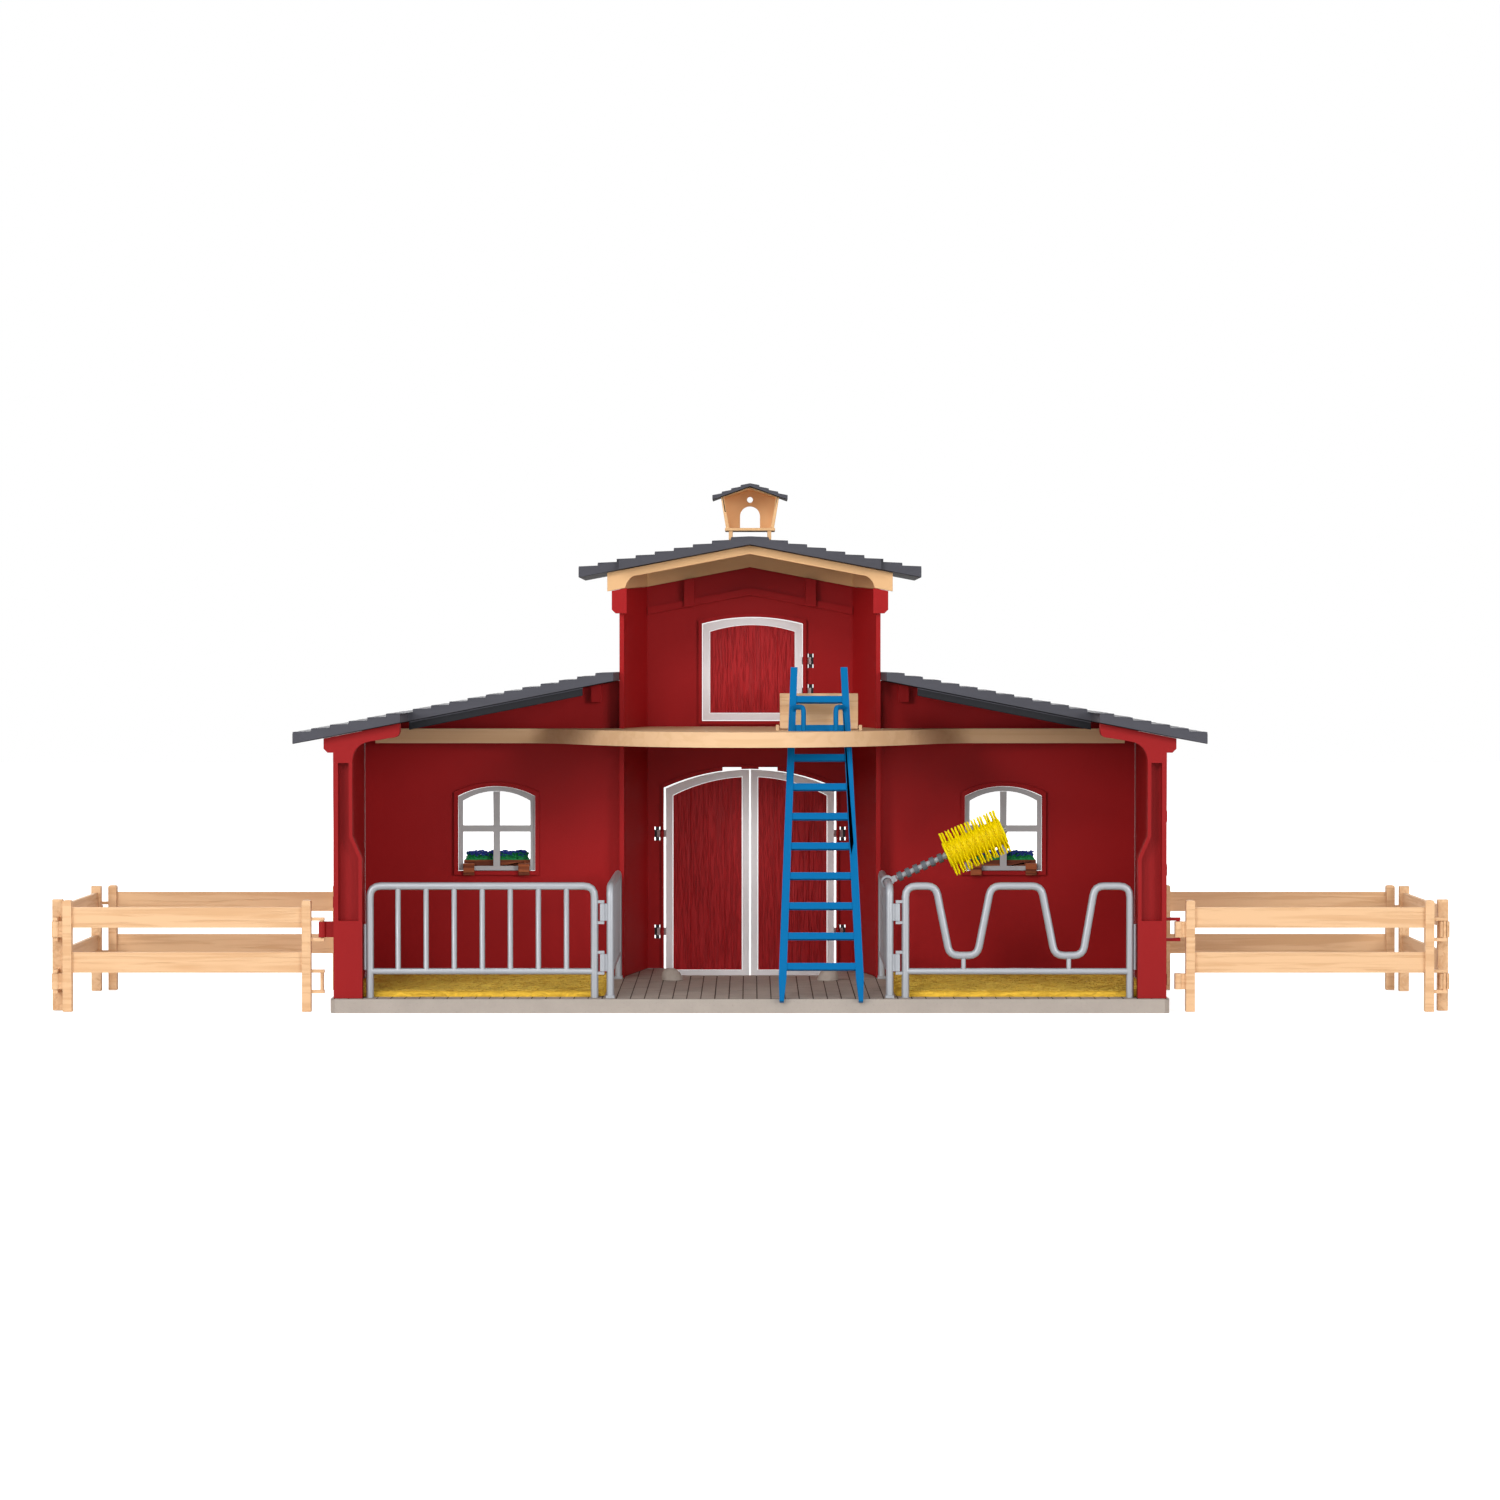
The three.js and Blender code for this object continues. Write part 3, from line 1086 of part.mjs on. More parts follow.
function trapDoor() {
  const half = TRAP_WIDTH / 2 - FIT_GAP;
  const x0 = LADDER_PLACE - half;
  const x1 = LADDER_PLACE + half;
  const z0 = LOFT_TOP + TRAP_LIFT - TRAP_PIN_RADIUS / 2;
  const board = block(x0, x1, trapY - TRAP_THICK / 2, trapY + TRAP_THICK / 2, z0, z0 + TRAP_HEIGHT);
  const pin = trapPin(x0 - TRAP_PIN_LENGTH, x1 + TRAP_PIN_LENGTH, TRAP_PIN_RADIUS);
  place("trap_door", board.add(pin), "timber");
}

// The ladder leans from the front edge of the base to the loft's hole, where two hooks hold it
function ladder() {
  const rise = LOFT_TOP + LADDER_ABOVE_LOFT - LADDER_FOOT_HEIGHT;
  const lean = Math.atan(LADDER_LEAN / rise);
  const length = Math.hypot(LADDER_LEAN, rise);
  const halfAt = (s) => (LADDER_FOOT_WIDTH + (LADDER_HEAD_WIDTH - LADDER_FOOT_WIDTH) * (s / length)) / 2;
  const wide = LADDER_RAIL / 2;
  const foot = wide * LADDER_FOOT_SHARE;
  const head = wide * LADDER_HEAD_SHARE;
  const rails = [-1, 1].map((side) => {
    const shape = outline([
      [side * halfAt(0) - foot, 0], [side * halfAt(0) + foot, 0],
      [side * halfAt(LADDER_TAPER) + wide, LADDER_TAPER],
      [side * halfAt(length) + head, length], [side * halfAt(length) - head, length],
      [side * halfAt(LADDER_TAPER) - wide, LADDER_TAPER],
    ]);
    return plate(shape, -LADDER_RAIL_DEPTH / 2, LADDER_RAIL_DEPTH / 2);
  });
  const rungs = [];
  const step = (length - LADDER_FIRST_RUNG - LADDER_LAST_RUNG) / (LADDER_RUNGS - 1);
  const deep = LADDER_RUNG_DEPTH / 2;
  for (let i = 0; i < LADDER_RUNGS; i += 1) {
    const s = LADDER_FIRST_RUNG + i * step;
    const half = halfAt(s);
    rungs.push(block(-half, half, -deep, deep, s - LADDER_RUNG / 2, s + LADDER_RUNG / 2));
  }
  const frame = join([...rails, ...rungs]).rotate([-THREE.MathUtils.radToDeg(lean), 0, 0]);
  const kerb = (BASE_HEIGHT - LADDER_FOOT_HEIGHT) * Math.tan(lean);
  const y0 = FRONT - FIT_GAP - kerb - LADDER_RAIL_DEPTH / 2 / Math.cos(lean);
  const standing = frame.translate([LADDER_PLACE, y0, LADDER_FOOT_HEIGHT]);
  const z = LOFT_TOP + LADDER_HOOK_ABOVE_LOFT;
  const high = z + LADDER_HOOK_REACH / 2;
  const half = halfAt((z - LADDER_FOOT_HEIGHT) / Math.cos(lean));
  const y = y0 + (z - LADDER_FOOT_HEIGHT) * Math.tan(lean);
  const rest = trapY - TRAP_HOLE - LADDER_HOOK_REACH / 2;
  const hooks = [-1, 1].map((side) => {
    const x = LADDER_PLACE + side * half;
    const inX = x - side * LADDER_HOOK_REACH;
    const points = [
      new THREE.Vector3(x, y, z),
      new THREE.Vector3(x - side * LADDER_HOOK_RADIUS, y - LADDER_HOOK_RADIUS, high),
      new THREE.Vector3(inX, rest, high),
      new THREE.Vector3(inX, rest, LOFT_TOP + FIT_GAP),
    ];
    return tube(points, LADDER_HOOK_RADIUS, LADDER_HOOK_REACH / 2);
  });
  place("ladder", join([standing, ...hooks]), "blue");
}

// Stall gates and partitions. A panel is drawn along X from 0 to a length and placed afterwards.
const GATE_START = PARTITION_PLACE + 2 * GATE_HINGE_SET;
const LATCH_OUT = GATE_TUBE + LATCH_ROD - LATCH_SINK;
const GATE_END = SIDE - POST_WIDTH - FIT_GAP - LATCH_OUT - LATCH_ROD;
const GATE_LENGTH = GATE_END - GATE_START;
const PARTITION_LENGTH = PARTITION_BACK - GATE_PLACE;

function at(x, z) {
  return new THREE.Vector3(x, 0, z);
}

// Feet of a panel: a flat plate under a leg
function foot(x) {
  const half = GATE_FOOT_LENGTH / 2;
  const wide = GATE_FOOT_WIDTH / 2;
  return block(x - half, x + half, -wide, wide, FLOOR, FLOOR + GATE_FOOT_HEIGHT);
}

function railed(points, length) {
  const rail = tube([at(0, GATE_RAIL_HEIGHT), at(length, GATE_RAIL_HEIGHT)], GATE_RAIL, 0);
  return [tube(points, GATE_TUBE, GATE_CORNER), rail];
}

function barredPanel(length, bars) {
  const parts = railed([at(0, FLOOR), at(0, GATE_TOP), at(length, GATE_TOP), at(length, FLOOR)], length);
  for (let i = 1; i <= bars; i += 1) {
    const x = (length * i) / (bars + 1);
    parts.push(tube([at(x, GATE_RAIL_HEIGHT), at(x, GATE_TOP)], GATE_BAR, 0));
  }
  return join(parts);
}

function waveGate(length) {
  const points = [at(0, FLOOR), at(0, GATE_TOP)];
  for (const [share, high] of W_PLACE_SHARES) {
    points.push(at(share * length, high ? GATE_TOP : W_LOW));
  }
  const parts = railed([...points, at(length, GATE_TOP), at(length, FLOOR)], length);
  const lows = W_PLACE_SHARES.filter(([, high]) => !high).map(([share]) => share * length);
  for (let i = 0; i < lows.length; i += 2) {
    const x = (lows[i] + lows[i + 1]) / 2;
    parts.push(tube([at(x, GATE_RAIL_HEIGHT), at(x, W_LOW)], W_STRUT, 0));
  }
  return join(parts);
}

// The rod on a gate's free end that rests beside the front post
function latchRod(x) {
  const rod = post(x, 0, LATCH_ROD, LATCH_BOTTOM, LATCH_TOP, GATE_SIDES);
  const half = LATCH_ROD / 2;
  const lug = (z) => block(x - LATCH_OUT, x, -half, half, z, z + 2 * LATCH_ROD);
  return join([rod, lug(LATCH_BOTTOM), lug(LATCH_TOP - 2 * LATCH_ROD)]);
}

const HINGE_Y_GATE = FRONT + GATE_PLACE;
const HINGE_X_GATE = PARTITION_PLACE + GATE_HINGE_SET;

function gateRing(x, y, way, low) {
  const z0 = low + GATE_HINGE_ARM + FIT_GAP;
  const z1 = low + GATE_HINGE_HEIGHT - GATE_HINGE_ARM - FIT_GAP;
  return clipRing(x, y, way, GATE_HINGE_SET, z0, z1, GATE_HINGE_PIN, GATE_HINGE_RING, GATE_TUBE);
}

function gates() {
  for (const side of [-1, 1]) {
    const name = side < 0 ? "left" : "right";
    const panel = side < 0 ? barredPanel(GATE_LENGTH, GATE_BARS) : waveGate(GATE_LENGTH);
    const dressed = panel.add(latchRod(GATE_LENGTH + LATCH_OUT));
    const turn = side < 0 ? 180 : 0;
    const placed = dressed.rotate([0, 0, turn]).translate([side * GATE_START, HINGE_Y_GATE, 0]);
    const x = side * HINGE_X_GATE;
    const y = HINGE_Y_GATE;
    const away = side < 0 ? Math.PI : 0;
    const sizes = [GATE_HINGE_HEIGHT, GATE_HINGE_PIN, GATE_HINGE_ARM, GATE_TUBE];
    const loops = GATE_HINGE_LOWS.map((low) => pinLoop(x, y, away, GATE_HINGE_SET, low, ...sizes));
    place(`${name}_gate`, join([placed, ...loops]), "steel");

    const fence = barredPanel(PARTITION_LENGTH, GATE_BARS).add(foot(0)).add(foot(PARTITION_LENGTH));
    const stood = fence.rotate([0, 0, 90]).translate([side * PARTITION_PLACE, y, 0]);
    const rings = GATE_HINGE_LOWS.map((low) => gateRing(x, y, away + Math.PI, low));
    place(`${name}_partition`, join([stood, ...rings]), "steel");
  }
}

// A straw mat on the floor of each stall, drawn in at its corners
function mats() {
  for (const side of [-1, 1]) {
    const x0 = PARTITION_PLACE + GATE_FOOT_WIDTH / 2 + MAT_MARGIN / 2;
    const x1 = SIDE - WALL - MAT_MARGIN;
    const y0 = FRONT + GATE_PLACE + GATE_TUBE + MAT_MARGIN;
    const y1 = BACK - WALL - MAT_MARGIN;
    const r = MAT_ROUND;
    const corners = [
      [x0 + r, y0], [x1 - r, y0], [x1, y0 + r], [x1, y1 - r],
      [x1 - r, y1], [x0 + r, y1], [x0, y1 - r], [x0, y0 + r],
    ];
    const edge = { bevelThickness: MAT_EDGE, bevelSize: MAT_EDGE, bevelSegments: 1 };
    const depth = MAT_HEIGHT - MAT_EDGE;
    const shape = outline(corners.map(([x, y]) => [side * x, y]));
    const geometry = new THREE.ExtrudeGeometry(shape, { depth, ...edge });
    const body = solid(geometry.translate(0, 0, FLOOR + MAT_EDGE));
    place(side < 0 ? "left_straw_mat" : "right_straw_mat", body, "straw");
  }
}

// The roller brush: a clip on the partition's top tube, a ribbed neck, an axle and the bristled roller
const barPitch = PARTITION_LENGTH / (GATE_BARS + 1);
const BRUSH_Y = HINGE_Y_GATE + BRUSH_AFTER_BAR * barPitch + barPitch / 2;
const brushFrame = new THREE.Matrix4()
  .makeTranslation(PARTITION_PLACE, BRUSH_Y, GATE_TOP)
  .multiply(new THREE.Matrix4().makeRotationY(-BRUSH_TILT));
const CLIP_OUTER = GATE_TUBE + PIN_GAP + CLIP_RING;
const NECK_START = CLIP_OUTER + CLIP_STEM / 2;
const ROLLER_START = NECK_START + NECK_LENGTH + AXLE_CAP_LENGTH;

// A profile of [along, radius] pairs turned about the brush's own axis, which is its local X
function turned(profile, sides) {
  const points = profile.map(([along, radius]) => new THREE.Vector2(radius, along));
  return new THREE.LatheGeometry(points, sides).rotateZ(-Math.PI / 2);
}

function brush() {
  const clip = new THREE.Shape();
  const from = RING_MOUTH / 2 - Math.PI / 2;
  const to = (3 * Math.PI - RING_MOUTH) / 2;
  clip.absarc(0, 0, CLIP_OUTER, from, to, false);
  clip.absarc(0, 0, GATE_TUBE + PIN_GAP, to, from, true);
  clip.closePath();
  const ring = plate(clip, -CLIP_WIDTH / 2, CLIP_WIDTH / 2, RING_SIDES);
  const half = CLIP_STEM / 2;
  const stem = block(CLIP_OUTER - CLIP_RING / 2, NECK_START, -half, half, -half, half);
  const profile = [[NECK_START, 0], [NECK_START, NECK_CORE]];
  const pitch = NECK_LENGTH / NECK_RIBS;
  for (let i = 0; i < NECK_RIBS; i += 1) {
    const near = NECK_START + i * pitch + (pitch * (1 - NECK_RIB_SHARE)) / 2;
    const far = near + pitch * NECK_RIB_SHARE;
    profile.push([near, NECK_CORE], [near, NECK_RIB], [far, NECK_RIB], [far, NECK_CORE]);
  }
  const end = NECK_START + NECK_LENGTH;
  const cap = ROLLER_START - FIT_GAP;
  const tail = ROLLER_START + BRUSH_LENGTH + FIT_GAP;
  const tip = tail + AXLE_CAP_LENGTH;
  profile.push([end, NECK_CORE], [end, AXLE_CAP], [cap, AXLE_CAP], [cap, AXLE_RADIUS]);
  profile.push([tail, AXLE_RADIUS], [tail, AXLE_CAP], [tip, AXLE_CAP], [tip, 0]);
  const neck = solid(turned(profile, GATE_SIDES));
  const moved = (body) => solid(geometryOf(body).applyMatrix4(brushFrame));
  place("brush_clip", moved(ring.add(stem)), "steel");
  const free = block(-OVERRUN, NECK_START + FIT_GAP, -OVERRUN, OVERRUN, -OVERRUN, OVERRUN);
  place("brush_neck", moved(neck.subtract(free)), "dark");

  const bore = AXLE_RADIUS + PIN_GAP;
  const r0 = ROLLER_START;
  const r1 = ROLLER_START + BRUSH_LENGTH;
  const tubeProfile = [[r0, bore], [r0, BRUSH_CORE], [r1, BRUSH_CORE], [r1, bore], [r0, bore]];
  const core = solid(turned(tubeProfile, STRANDS_ROUND));
  const strands = [];
  const root = BRUSH_CORE - STRAND_SINK;
  const reach = BRUSH_RADIUS - root;
  const step = BRUSH_LENGTH / STRAND_ROWS;
  const round = (2 * Math.PI) / STRANDS_ROUND;
  for (let row = 0; row < STRAND_ROWS; row += 1) {
    for (let i = 0; i < STRANDS_ROUND; i += 1) {
      const angle = i * round + ((row % 2) * round) / 2;
      const strand = new THREE.ConeGeometry(STRAND_WIDTH, reach, 3);
      strand.translate(0, root + reach / 2, 0);
      strand.rotateX(angle).translate(r0 + row * step + step / 2, 0, 0);
      strands.push(solid(strand));
    }
  }
  place("brush_roller", moved(join([core, ...strands])), "yellow");
}

// One fence panel, drawn along X: loops with pins at its start and clip rings at its end
function fencePanel(length) {
  const half = FENCE_POST / 2;
  const deep = FENCE_POST_DEPTH / 2;
  const first = FENCE_PIN_SET + half;
  const last = length - FENCE_RING_SET - half;
  const shoulder = FENCE_HEIGHT - FENCE_POST_ROUND;
  const crown = half - FENCE_POST_ROUND;
  const upright = (x) => {
    const shape = new THREE.Shape();
    shape.moveTo(x - half, FENCE_FOOT_GAP);
    shape.lineTo(x + half, FENCE_FOOT_GAP);
    shape.lineTo(x + half, shoulder);
    shape.quadraticCurveTo(x + half, FENCE_HEIGHT, x + crown, FENCE_HEIGHT);
    shape.lineTo(x - crown, FENCE_HEIGHT);
    shape.quadraticCurveTo(x - half, FENCE_HEIGHT, x - half, shoulder);
    shape.closePath();
    return plate(shape, -deep, deep, 3);
  };
  const parts = [upright(first), upright(last)];
  for (const low of FENCE_RAIL_LOWS) {
    parts.push(block(first, last, -FENCE_RAIL_DEPTH / 2, FENCE_RAIL_DEPTH / 2, low, low + FENCE_RAIL));
  }
  for (const low of FENCE_LOOP_LOWS) {
    parts.push(fenceLoop(0, 0, 0, low, first));
    parts.push(fenceRing(length, 0, Math.PI, low, FENCE_RING_SET + half));
  }
  return join(parts);
}

function fences() {
  const long = fencePanel(FENCE_LENGTH);
  const end = fencePanel(FENCE_DEPTH);
  const set = (name, panel, x, y, turn) =>
    place(name, panel.rotate([0, 0, turn]).translate([x, y, 0]), "timber");
  const far = FENCE_PIN_X + FENCE_LENGTH;
  const backY = FENCE_FRONT_Y + FENCE_DEPTH;
  set("left_fence_front", long, -FENCE_PIN_X, FENCE_FRONT_Y, 180);
  set("left_fence_end", end, -far, FENCE_FRONT_Y, 90);
  set("left_fence_back", long, -far, backY, 0);
  set("right_fence_front", long, far, FENCE_FRONT_Y, 180);
  set("right_fence_end", end, far, backY, -90);
  set("right_fence_back", long, FENCE_PIN_X, backY, 0);
}

baseFloor();
for (const side of [-1, 1]) {
  sideWall(side);
  backWall(side);
  wingRoof(side);
  windowFrame(side);
  planter(side);
}
towerWall();
towerGable();
towerRoof();
cupola();
doors();
loft();
trapDoor();
ladder();
gates();
mats();
brush();
fences();

export default root;
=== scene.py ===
"""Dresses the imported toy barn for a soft, even studio picture."""

import math
import random

import bmesh
import bpy
import mathutils
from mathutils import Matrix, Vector


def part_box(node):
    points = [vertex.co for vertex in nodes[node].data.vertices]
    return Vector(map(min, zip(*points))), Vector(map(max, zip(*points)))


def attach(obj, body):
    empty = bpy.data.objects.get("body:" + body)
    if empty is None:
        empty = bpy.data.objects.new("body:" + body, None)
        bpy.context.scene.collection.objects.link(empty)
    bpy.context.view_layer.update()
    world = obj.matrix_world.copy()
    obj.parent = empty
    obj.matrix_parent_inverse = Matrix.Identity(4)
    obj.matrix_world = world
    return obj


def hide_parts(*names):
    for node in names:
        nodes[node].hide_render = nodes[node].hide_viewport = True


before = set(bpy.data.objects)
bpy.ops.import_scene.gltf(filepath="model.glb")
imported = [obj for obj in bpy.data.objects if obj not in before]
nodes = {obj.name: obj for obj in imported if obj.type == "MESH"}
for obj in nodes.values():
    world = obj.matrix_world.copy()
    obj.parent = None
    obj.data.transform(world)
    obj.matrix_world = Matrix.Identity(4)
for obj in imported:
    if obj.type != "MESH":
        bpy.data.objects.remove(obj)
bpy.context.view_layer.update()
SEED = 4937
random.seed(SEED)

# The two sides, and sizes that several pieces share, in metres
MM = 0.001
SIDES = ((-1, "left"), (1, "right"))
BASE_TOP = 9 * MM
BODY_HALF = 263 * MM
WING_EAVE = 175 * MM
WING_SLOPE = math.radians(11.1)
WING_RISE = math.tan(WING_SLOPE)
TOWER_EAVE = 300 * MM
TOWER_SLOPE = math.radians(10.8)
TOWER_RISE = math.tan(TOWER_SLOPE)
TOWER_HALF = 87.7 * MM
BRUSH_PLACE = Vector((88.4, -34.5, 80)) * MM
BRUSH_TILT = math.radians(24)

# Where painted shade lies on the stone, in its joints and on the stones' sides, in metres
JOINT_FRONT = -89.3 * MM
JOINT_DEPTH = 0.2 * MM
SIDES_REACH = 0.4 * MM
UPRIGHT_BELOW = 0.6


def linear(value):
    return value / 12.92 if value <= 0.04045 else ((value + 0.055) / 1.055) ** 2.4


def colour(text):
    """A colour as it shows on the screen, written in hexadecimal, as a linear one."""
    return tuple(linear(int(text[i : i + 2], 16) / 255) for i in (0, 2, 4)) + (1,)


def shaded(text, factor):
    return tuple(min(c * factor, 1) for c in colour(text)[:3]) + (1,)


class Shader:
    """A node material, built by naming each node's kind, settings and inputs."""

    def __init__(self, name):
        self.material = bpy.data.materials.new(name)
        self.material.use_nodes = True
        self.tree = self.material.node_tree
        self.tree.nodes.clear()
        self.output = self.node("OutputMaterial")
        self.surface = self.node("BsdfPrincipled")
        self.link(self.surface, "BSDF", self.output, "Surface")
        self.place = self.node("TexCoord")
        self.plain = self.stretched((1, 1, 1))

    def node(self, kind, settings=None, **inputs):
        made = self.tree.nodes.new("ShaderNode" + kind)
        for key, value in (settings or {}).items():
            setattr(made, key, value)
        for key, value in inputs.items():
            self.fill(made.inputs[key], value)
        return made

    def fill(self, socket, value):
        if isinstance(value, bpy.types.NodeSocket):
            self.tree.links.new(value, socket)
        else:
            socket.default_value = colour(value) if isinstance(value, str) else value

    def link(self, source, out, target, into):
        self.tree.links.new(source.outputs[out], target.inputs[into])

    def stretched(self, scale):
        """The place on the object, with each axis stretched by scale."""
        mapping = self.node("Mapping", Scale=scale)
        self.link(self.place, "Object", mapping, "Vector")
        return mapping.outputs["Vector"]

    def noise(self, where, scale, detail=3, rough=0.5, warp=0):
        made = self.node(
            "TexNoise", Vector=where, Scale=scale, Detail=detail, Roughness=rough, Distortion=warp
        )
        return made.outputs["Fac"]

    def fine(self, scale=1500):
        """The mould's fine texture, the same along every axis."""
        return self.noise(self.plain, scale, detail=2, rough=0.6)

    def ramp(self, value, low, high):
        """A value mapped from one (position, grey) stop to another."""
        made = self.node("ValToRGB", Fac=value)
        for element, (position, grey) in zip(made.color_ramp.elements, (low, high)):
            element.position = position
            element.color = (grey, grey, grey, 1)
        return made.outputs["Color"]

    def math(self, operation, a, b=0.0):
        made = self.node("Math", {"operation": operation})
        self.fill(made.inputs[0], a)
        self.fill(made.inputs[1], b)
        return made.outputs["Value"]

    def mix(self, share, a, b):
        made = self.node("Mix", {"data_type": "RGBA"})
        for socket, value in ((0, share), (6, a), (7, b)):
            self.fill(made.inputs[socket], value)
        return made.outputs[2]

    def toned(self, value, base, low, high):
        """A colour that a texture takes from a low to a high share of its brightness."""
        return self.mix(value, shaded(base, low), shaded(base, high))

    def stained(self, tone, value, share, other):
        """A tone that another covers by at most a share, where the value is high."""
        return self.mix(self.math("MULTIPLY", value, share), tone, other)

    def gloss(self, value, middle, swing=0.16):
        """The roughness, which a texture swings round a middle value."""
        return self.math("ADD", self.math("MULTIPLY", value, swing), middle - swing / 2)

    def bump(self, height, distance, under=None):
        made = self.node("Bump", Height=height, Distance=distance)
        if under is not None:
            self.fill(made.inputs["Normal"], under)
        return made.outputs["Normal"]

    def shine(self, level):
        """How strongly the surface mirrors the studio."""
        self.surface.inputs["Specular IOR Level"].default_value = level

    def part(self, kind, letter):
        """One coordinate of the place on the object, in metres, or of the way the surface faces."""
        parts = self.node("SeparateXYZ")
        self.link(self.place, kind, parts, "Vector")
        return parts.outputs[letter]

    def finish(self, **inputs):
        names = {"Base": "Base Color"}
        for key, value in inputs.items():
            self.fill(self.surface.inputs[names.get(key, key)], value)
        return self.material


def moulded(name, base, rough=0.5, grit=0.06, spread=0.1, grit_scale=1500, shine=0.15, beyond=None):
    """Matte moulded plastic: a fine mould texture, grit millimetres deep, and slow changes of tone."""
    s = Shader(name)
    slow = s.noise(s.plain, scale=14, detail=4)
    fine = s.fine(grit_scale)
    speck = s.ramp(fine, low=(0.3, 0.0), high=(0.62, 1.0))
    tone = s.toned(slow, base, low=1 - spread, high=1 + spread)
    tone = s.stained(tone, speck, share=0.12, other=shaded(base, 1.12))
    if beyond is not None:
        reach, other = beyond
        tone = s.mix(s.math("GREATER_THAN", s.part("Object", "Y"), reach), tone, other)
    s.shine(shine)
    return s.finish(Base=tone, Roughness=s.gloss(fine, rough), Normal=s.bump(fine, grit * MM))


def grained(name, base, dark, along, rough=0.55, depth=0.2, rows=330, share=1.0, stretch=0.045):
    """Plastic with moulded wood grain, depth millimetres deep, along axis 0 for X, 1 for Y or 2 for Z."""
    s = Shader(name)
    scale = [1, 1, 1]
    scale[along] = stretch
    where = s.stretched(tuple(scale))
    lines = s.noise(where, rows, detail=4, rough=0.55, warp=0.6)
    gathered = s.noise(where, rows * 0.35, detail=2, warp=1.2)
    cut = s.ramp(lines, low=(0.36, 0.0), high=(0.5, 1.0))
    wide = s.ramp(gathered, low=(0.34, 0.0), high=(0.46, 1.0))
    height = s.math("MULTIPLY", cut, wide)
    bend = s.noise(s.plain, scale=9, detail=2)
    tone = s.toned(bend, base, low=0.97, high=1.03)
    tone = s.stained(tone, s.math("SUBTRACT", 1.0, height), share, dark)
    fine = s.fine()
    normal = s.bump(height, depth * MM, under=s.bump(fine, 0.04 * MM))
    s.shine(0.18)
    return s.finish(Base=tone, Roughness=s.gloss(fine, rough), Normal=normal)


def slate_like(name, base, slope=0, below=0):
    """Moulded roof tiles: pale weathering, a split surface, and painted shade beneath and on the skirt."""
    s = Shader(name)
    worn = s.noise(s.stretched((0.35, 1, 1)), scale=60, detail=5, rough=0.6)
    split = s.noise(s.stretched((0.3, 1, 1)), scale=240, detail=3, rough=0.6)
    fine = s.fine()
    tone = s.toned(worn, base, low=0.78, high=1.22)
    # Painted shade: faces that look down, and on the wings the skirt below the roof's plane, take the dark
    # SHADE colour
    raised = s.math("ADD", s.part("Normal", "Z"), 1.0)
    under = s.ramp(raised, low=(0.5, 1.0), high=(0.8, 0.0))
    if slope:
        run = s.math("MULTIPLY", s.math("ABSOLUTE", s.part("Object", "X")), slope)
        level = s.math("SUBTRACT", s.math("ADD", s.part("Object", "Z"), run), below)
        under = s.math("MAXIMUM", under, s.math("LESS_THAN", level, 0.0))
    tone = s.mix(under, tone, SHADE)
    height = s.math("ADD", s.math("MULTIPLY", split, 0.8), s.math("MULTIPLY", fine, 0.3))
    s.shine(0.25)
    return s.finish(Base=tone, Roughness=s.gloss(fine, 0.6, swing=0.2), Normal=s.bump(height, 0.35 * MM))


def stone_like(name, base, joint=None, sides=None, low=0.84, high=1.1, pit=0.2):
    """Moulded stone: mottled, with pits that are pit millimetres deep, and painted shade in the joints or on
    the sides.
    """
    s = Shader(name)
    mottle = s.noise(s.plain, scale=70, detail=5, rough=0.65)
    pits = s.noise(s.plain, scale=700, detail=3, rough=0.6)
    tone = s.toned(mottle, base, low, high)
    # Painted shade: the upright sides near the floor's level take the dark sides colour, so the gaps between
    # stones look shaded
    if sides is not None:
        upright = s.math("LESS_THAN", s.part("Normal", "Z"), UPRIGHT_BELOW)
        near = s.math("LESS_THAN", s.part("Object", "Z"), BASE_TOP + SIDES_REACH)
        tone = s.mix(s.math("MULTIPLY", upright, near), tone, sides)
    # Painted shade: the floor's top behind its front edge, seen only in the joints between the stones, takes
    # the dark joint colour
    if joint is not None:
        on_top = s.math("GREATER_THAN", s.part("Object", "Z"), BASE_TOP - JOINT_DEPTH)
        behind = s.math("GREATER_THAN", s.part("Object", "Y"), JOINT_FRONT)
        tone = s.mix(s.math("MULTIPLY", on_top, behind), tone, joint)
    hollow = s.ramp(pits, low=(0.25, 1.0), high=(0.42, 0.0))
    tone = s.stained(tone, hollow, share=0.4, other=shaded(base, 0.6))
    s.shine(0.2)
    return s.finish(Base=tone, Roughness=s.gloss(pits, 0.65, swing=0.2), Normal=s.bump(pits, pit * MM))


def painted_steel(name, base, rough, metal):
    """Silver plastic: a soft metallic gloss with faint flow marks."""
    s = Shader(name)
    slow = s.noise(s.plain, scale=30, detail=4)
    fine = s.fine(2200)
    tone = s.toned(slow, base, low=0.92, high=1.06)
    gloss = s.gloss(fine, rough, swing=0.18)
    return s.finish(Base=tone, Metallic=metal, Roughness=gloss, Normal=s.bump(fine, 0.03 * MM))


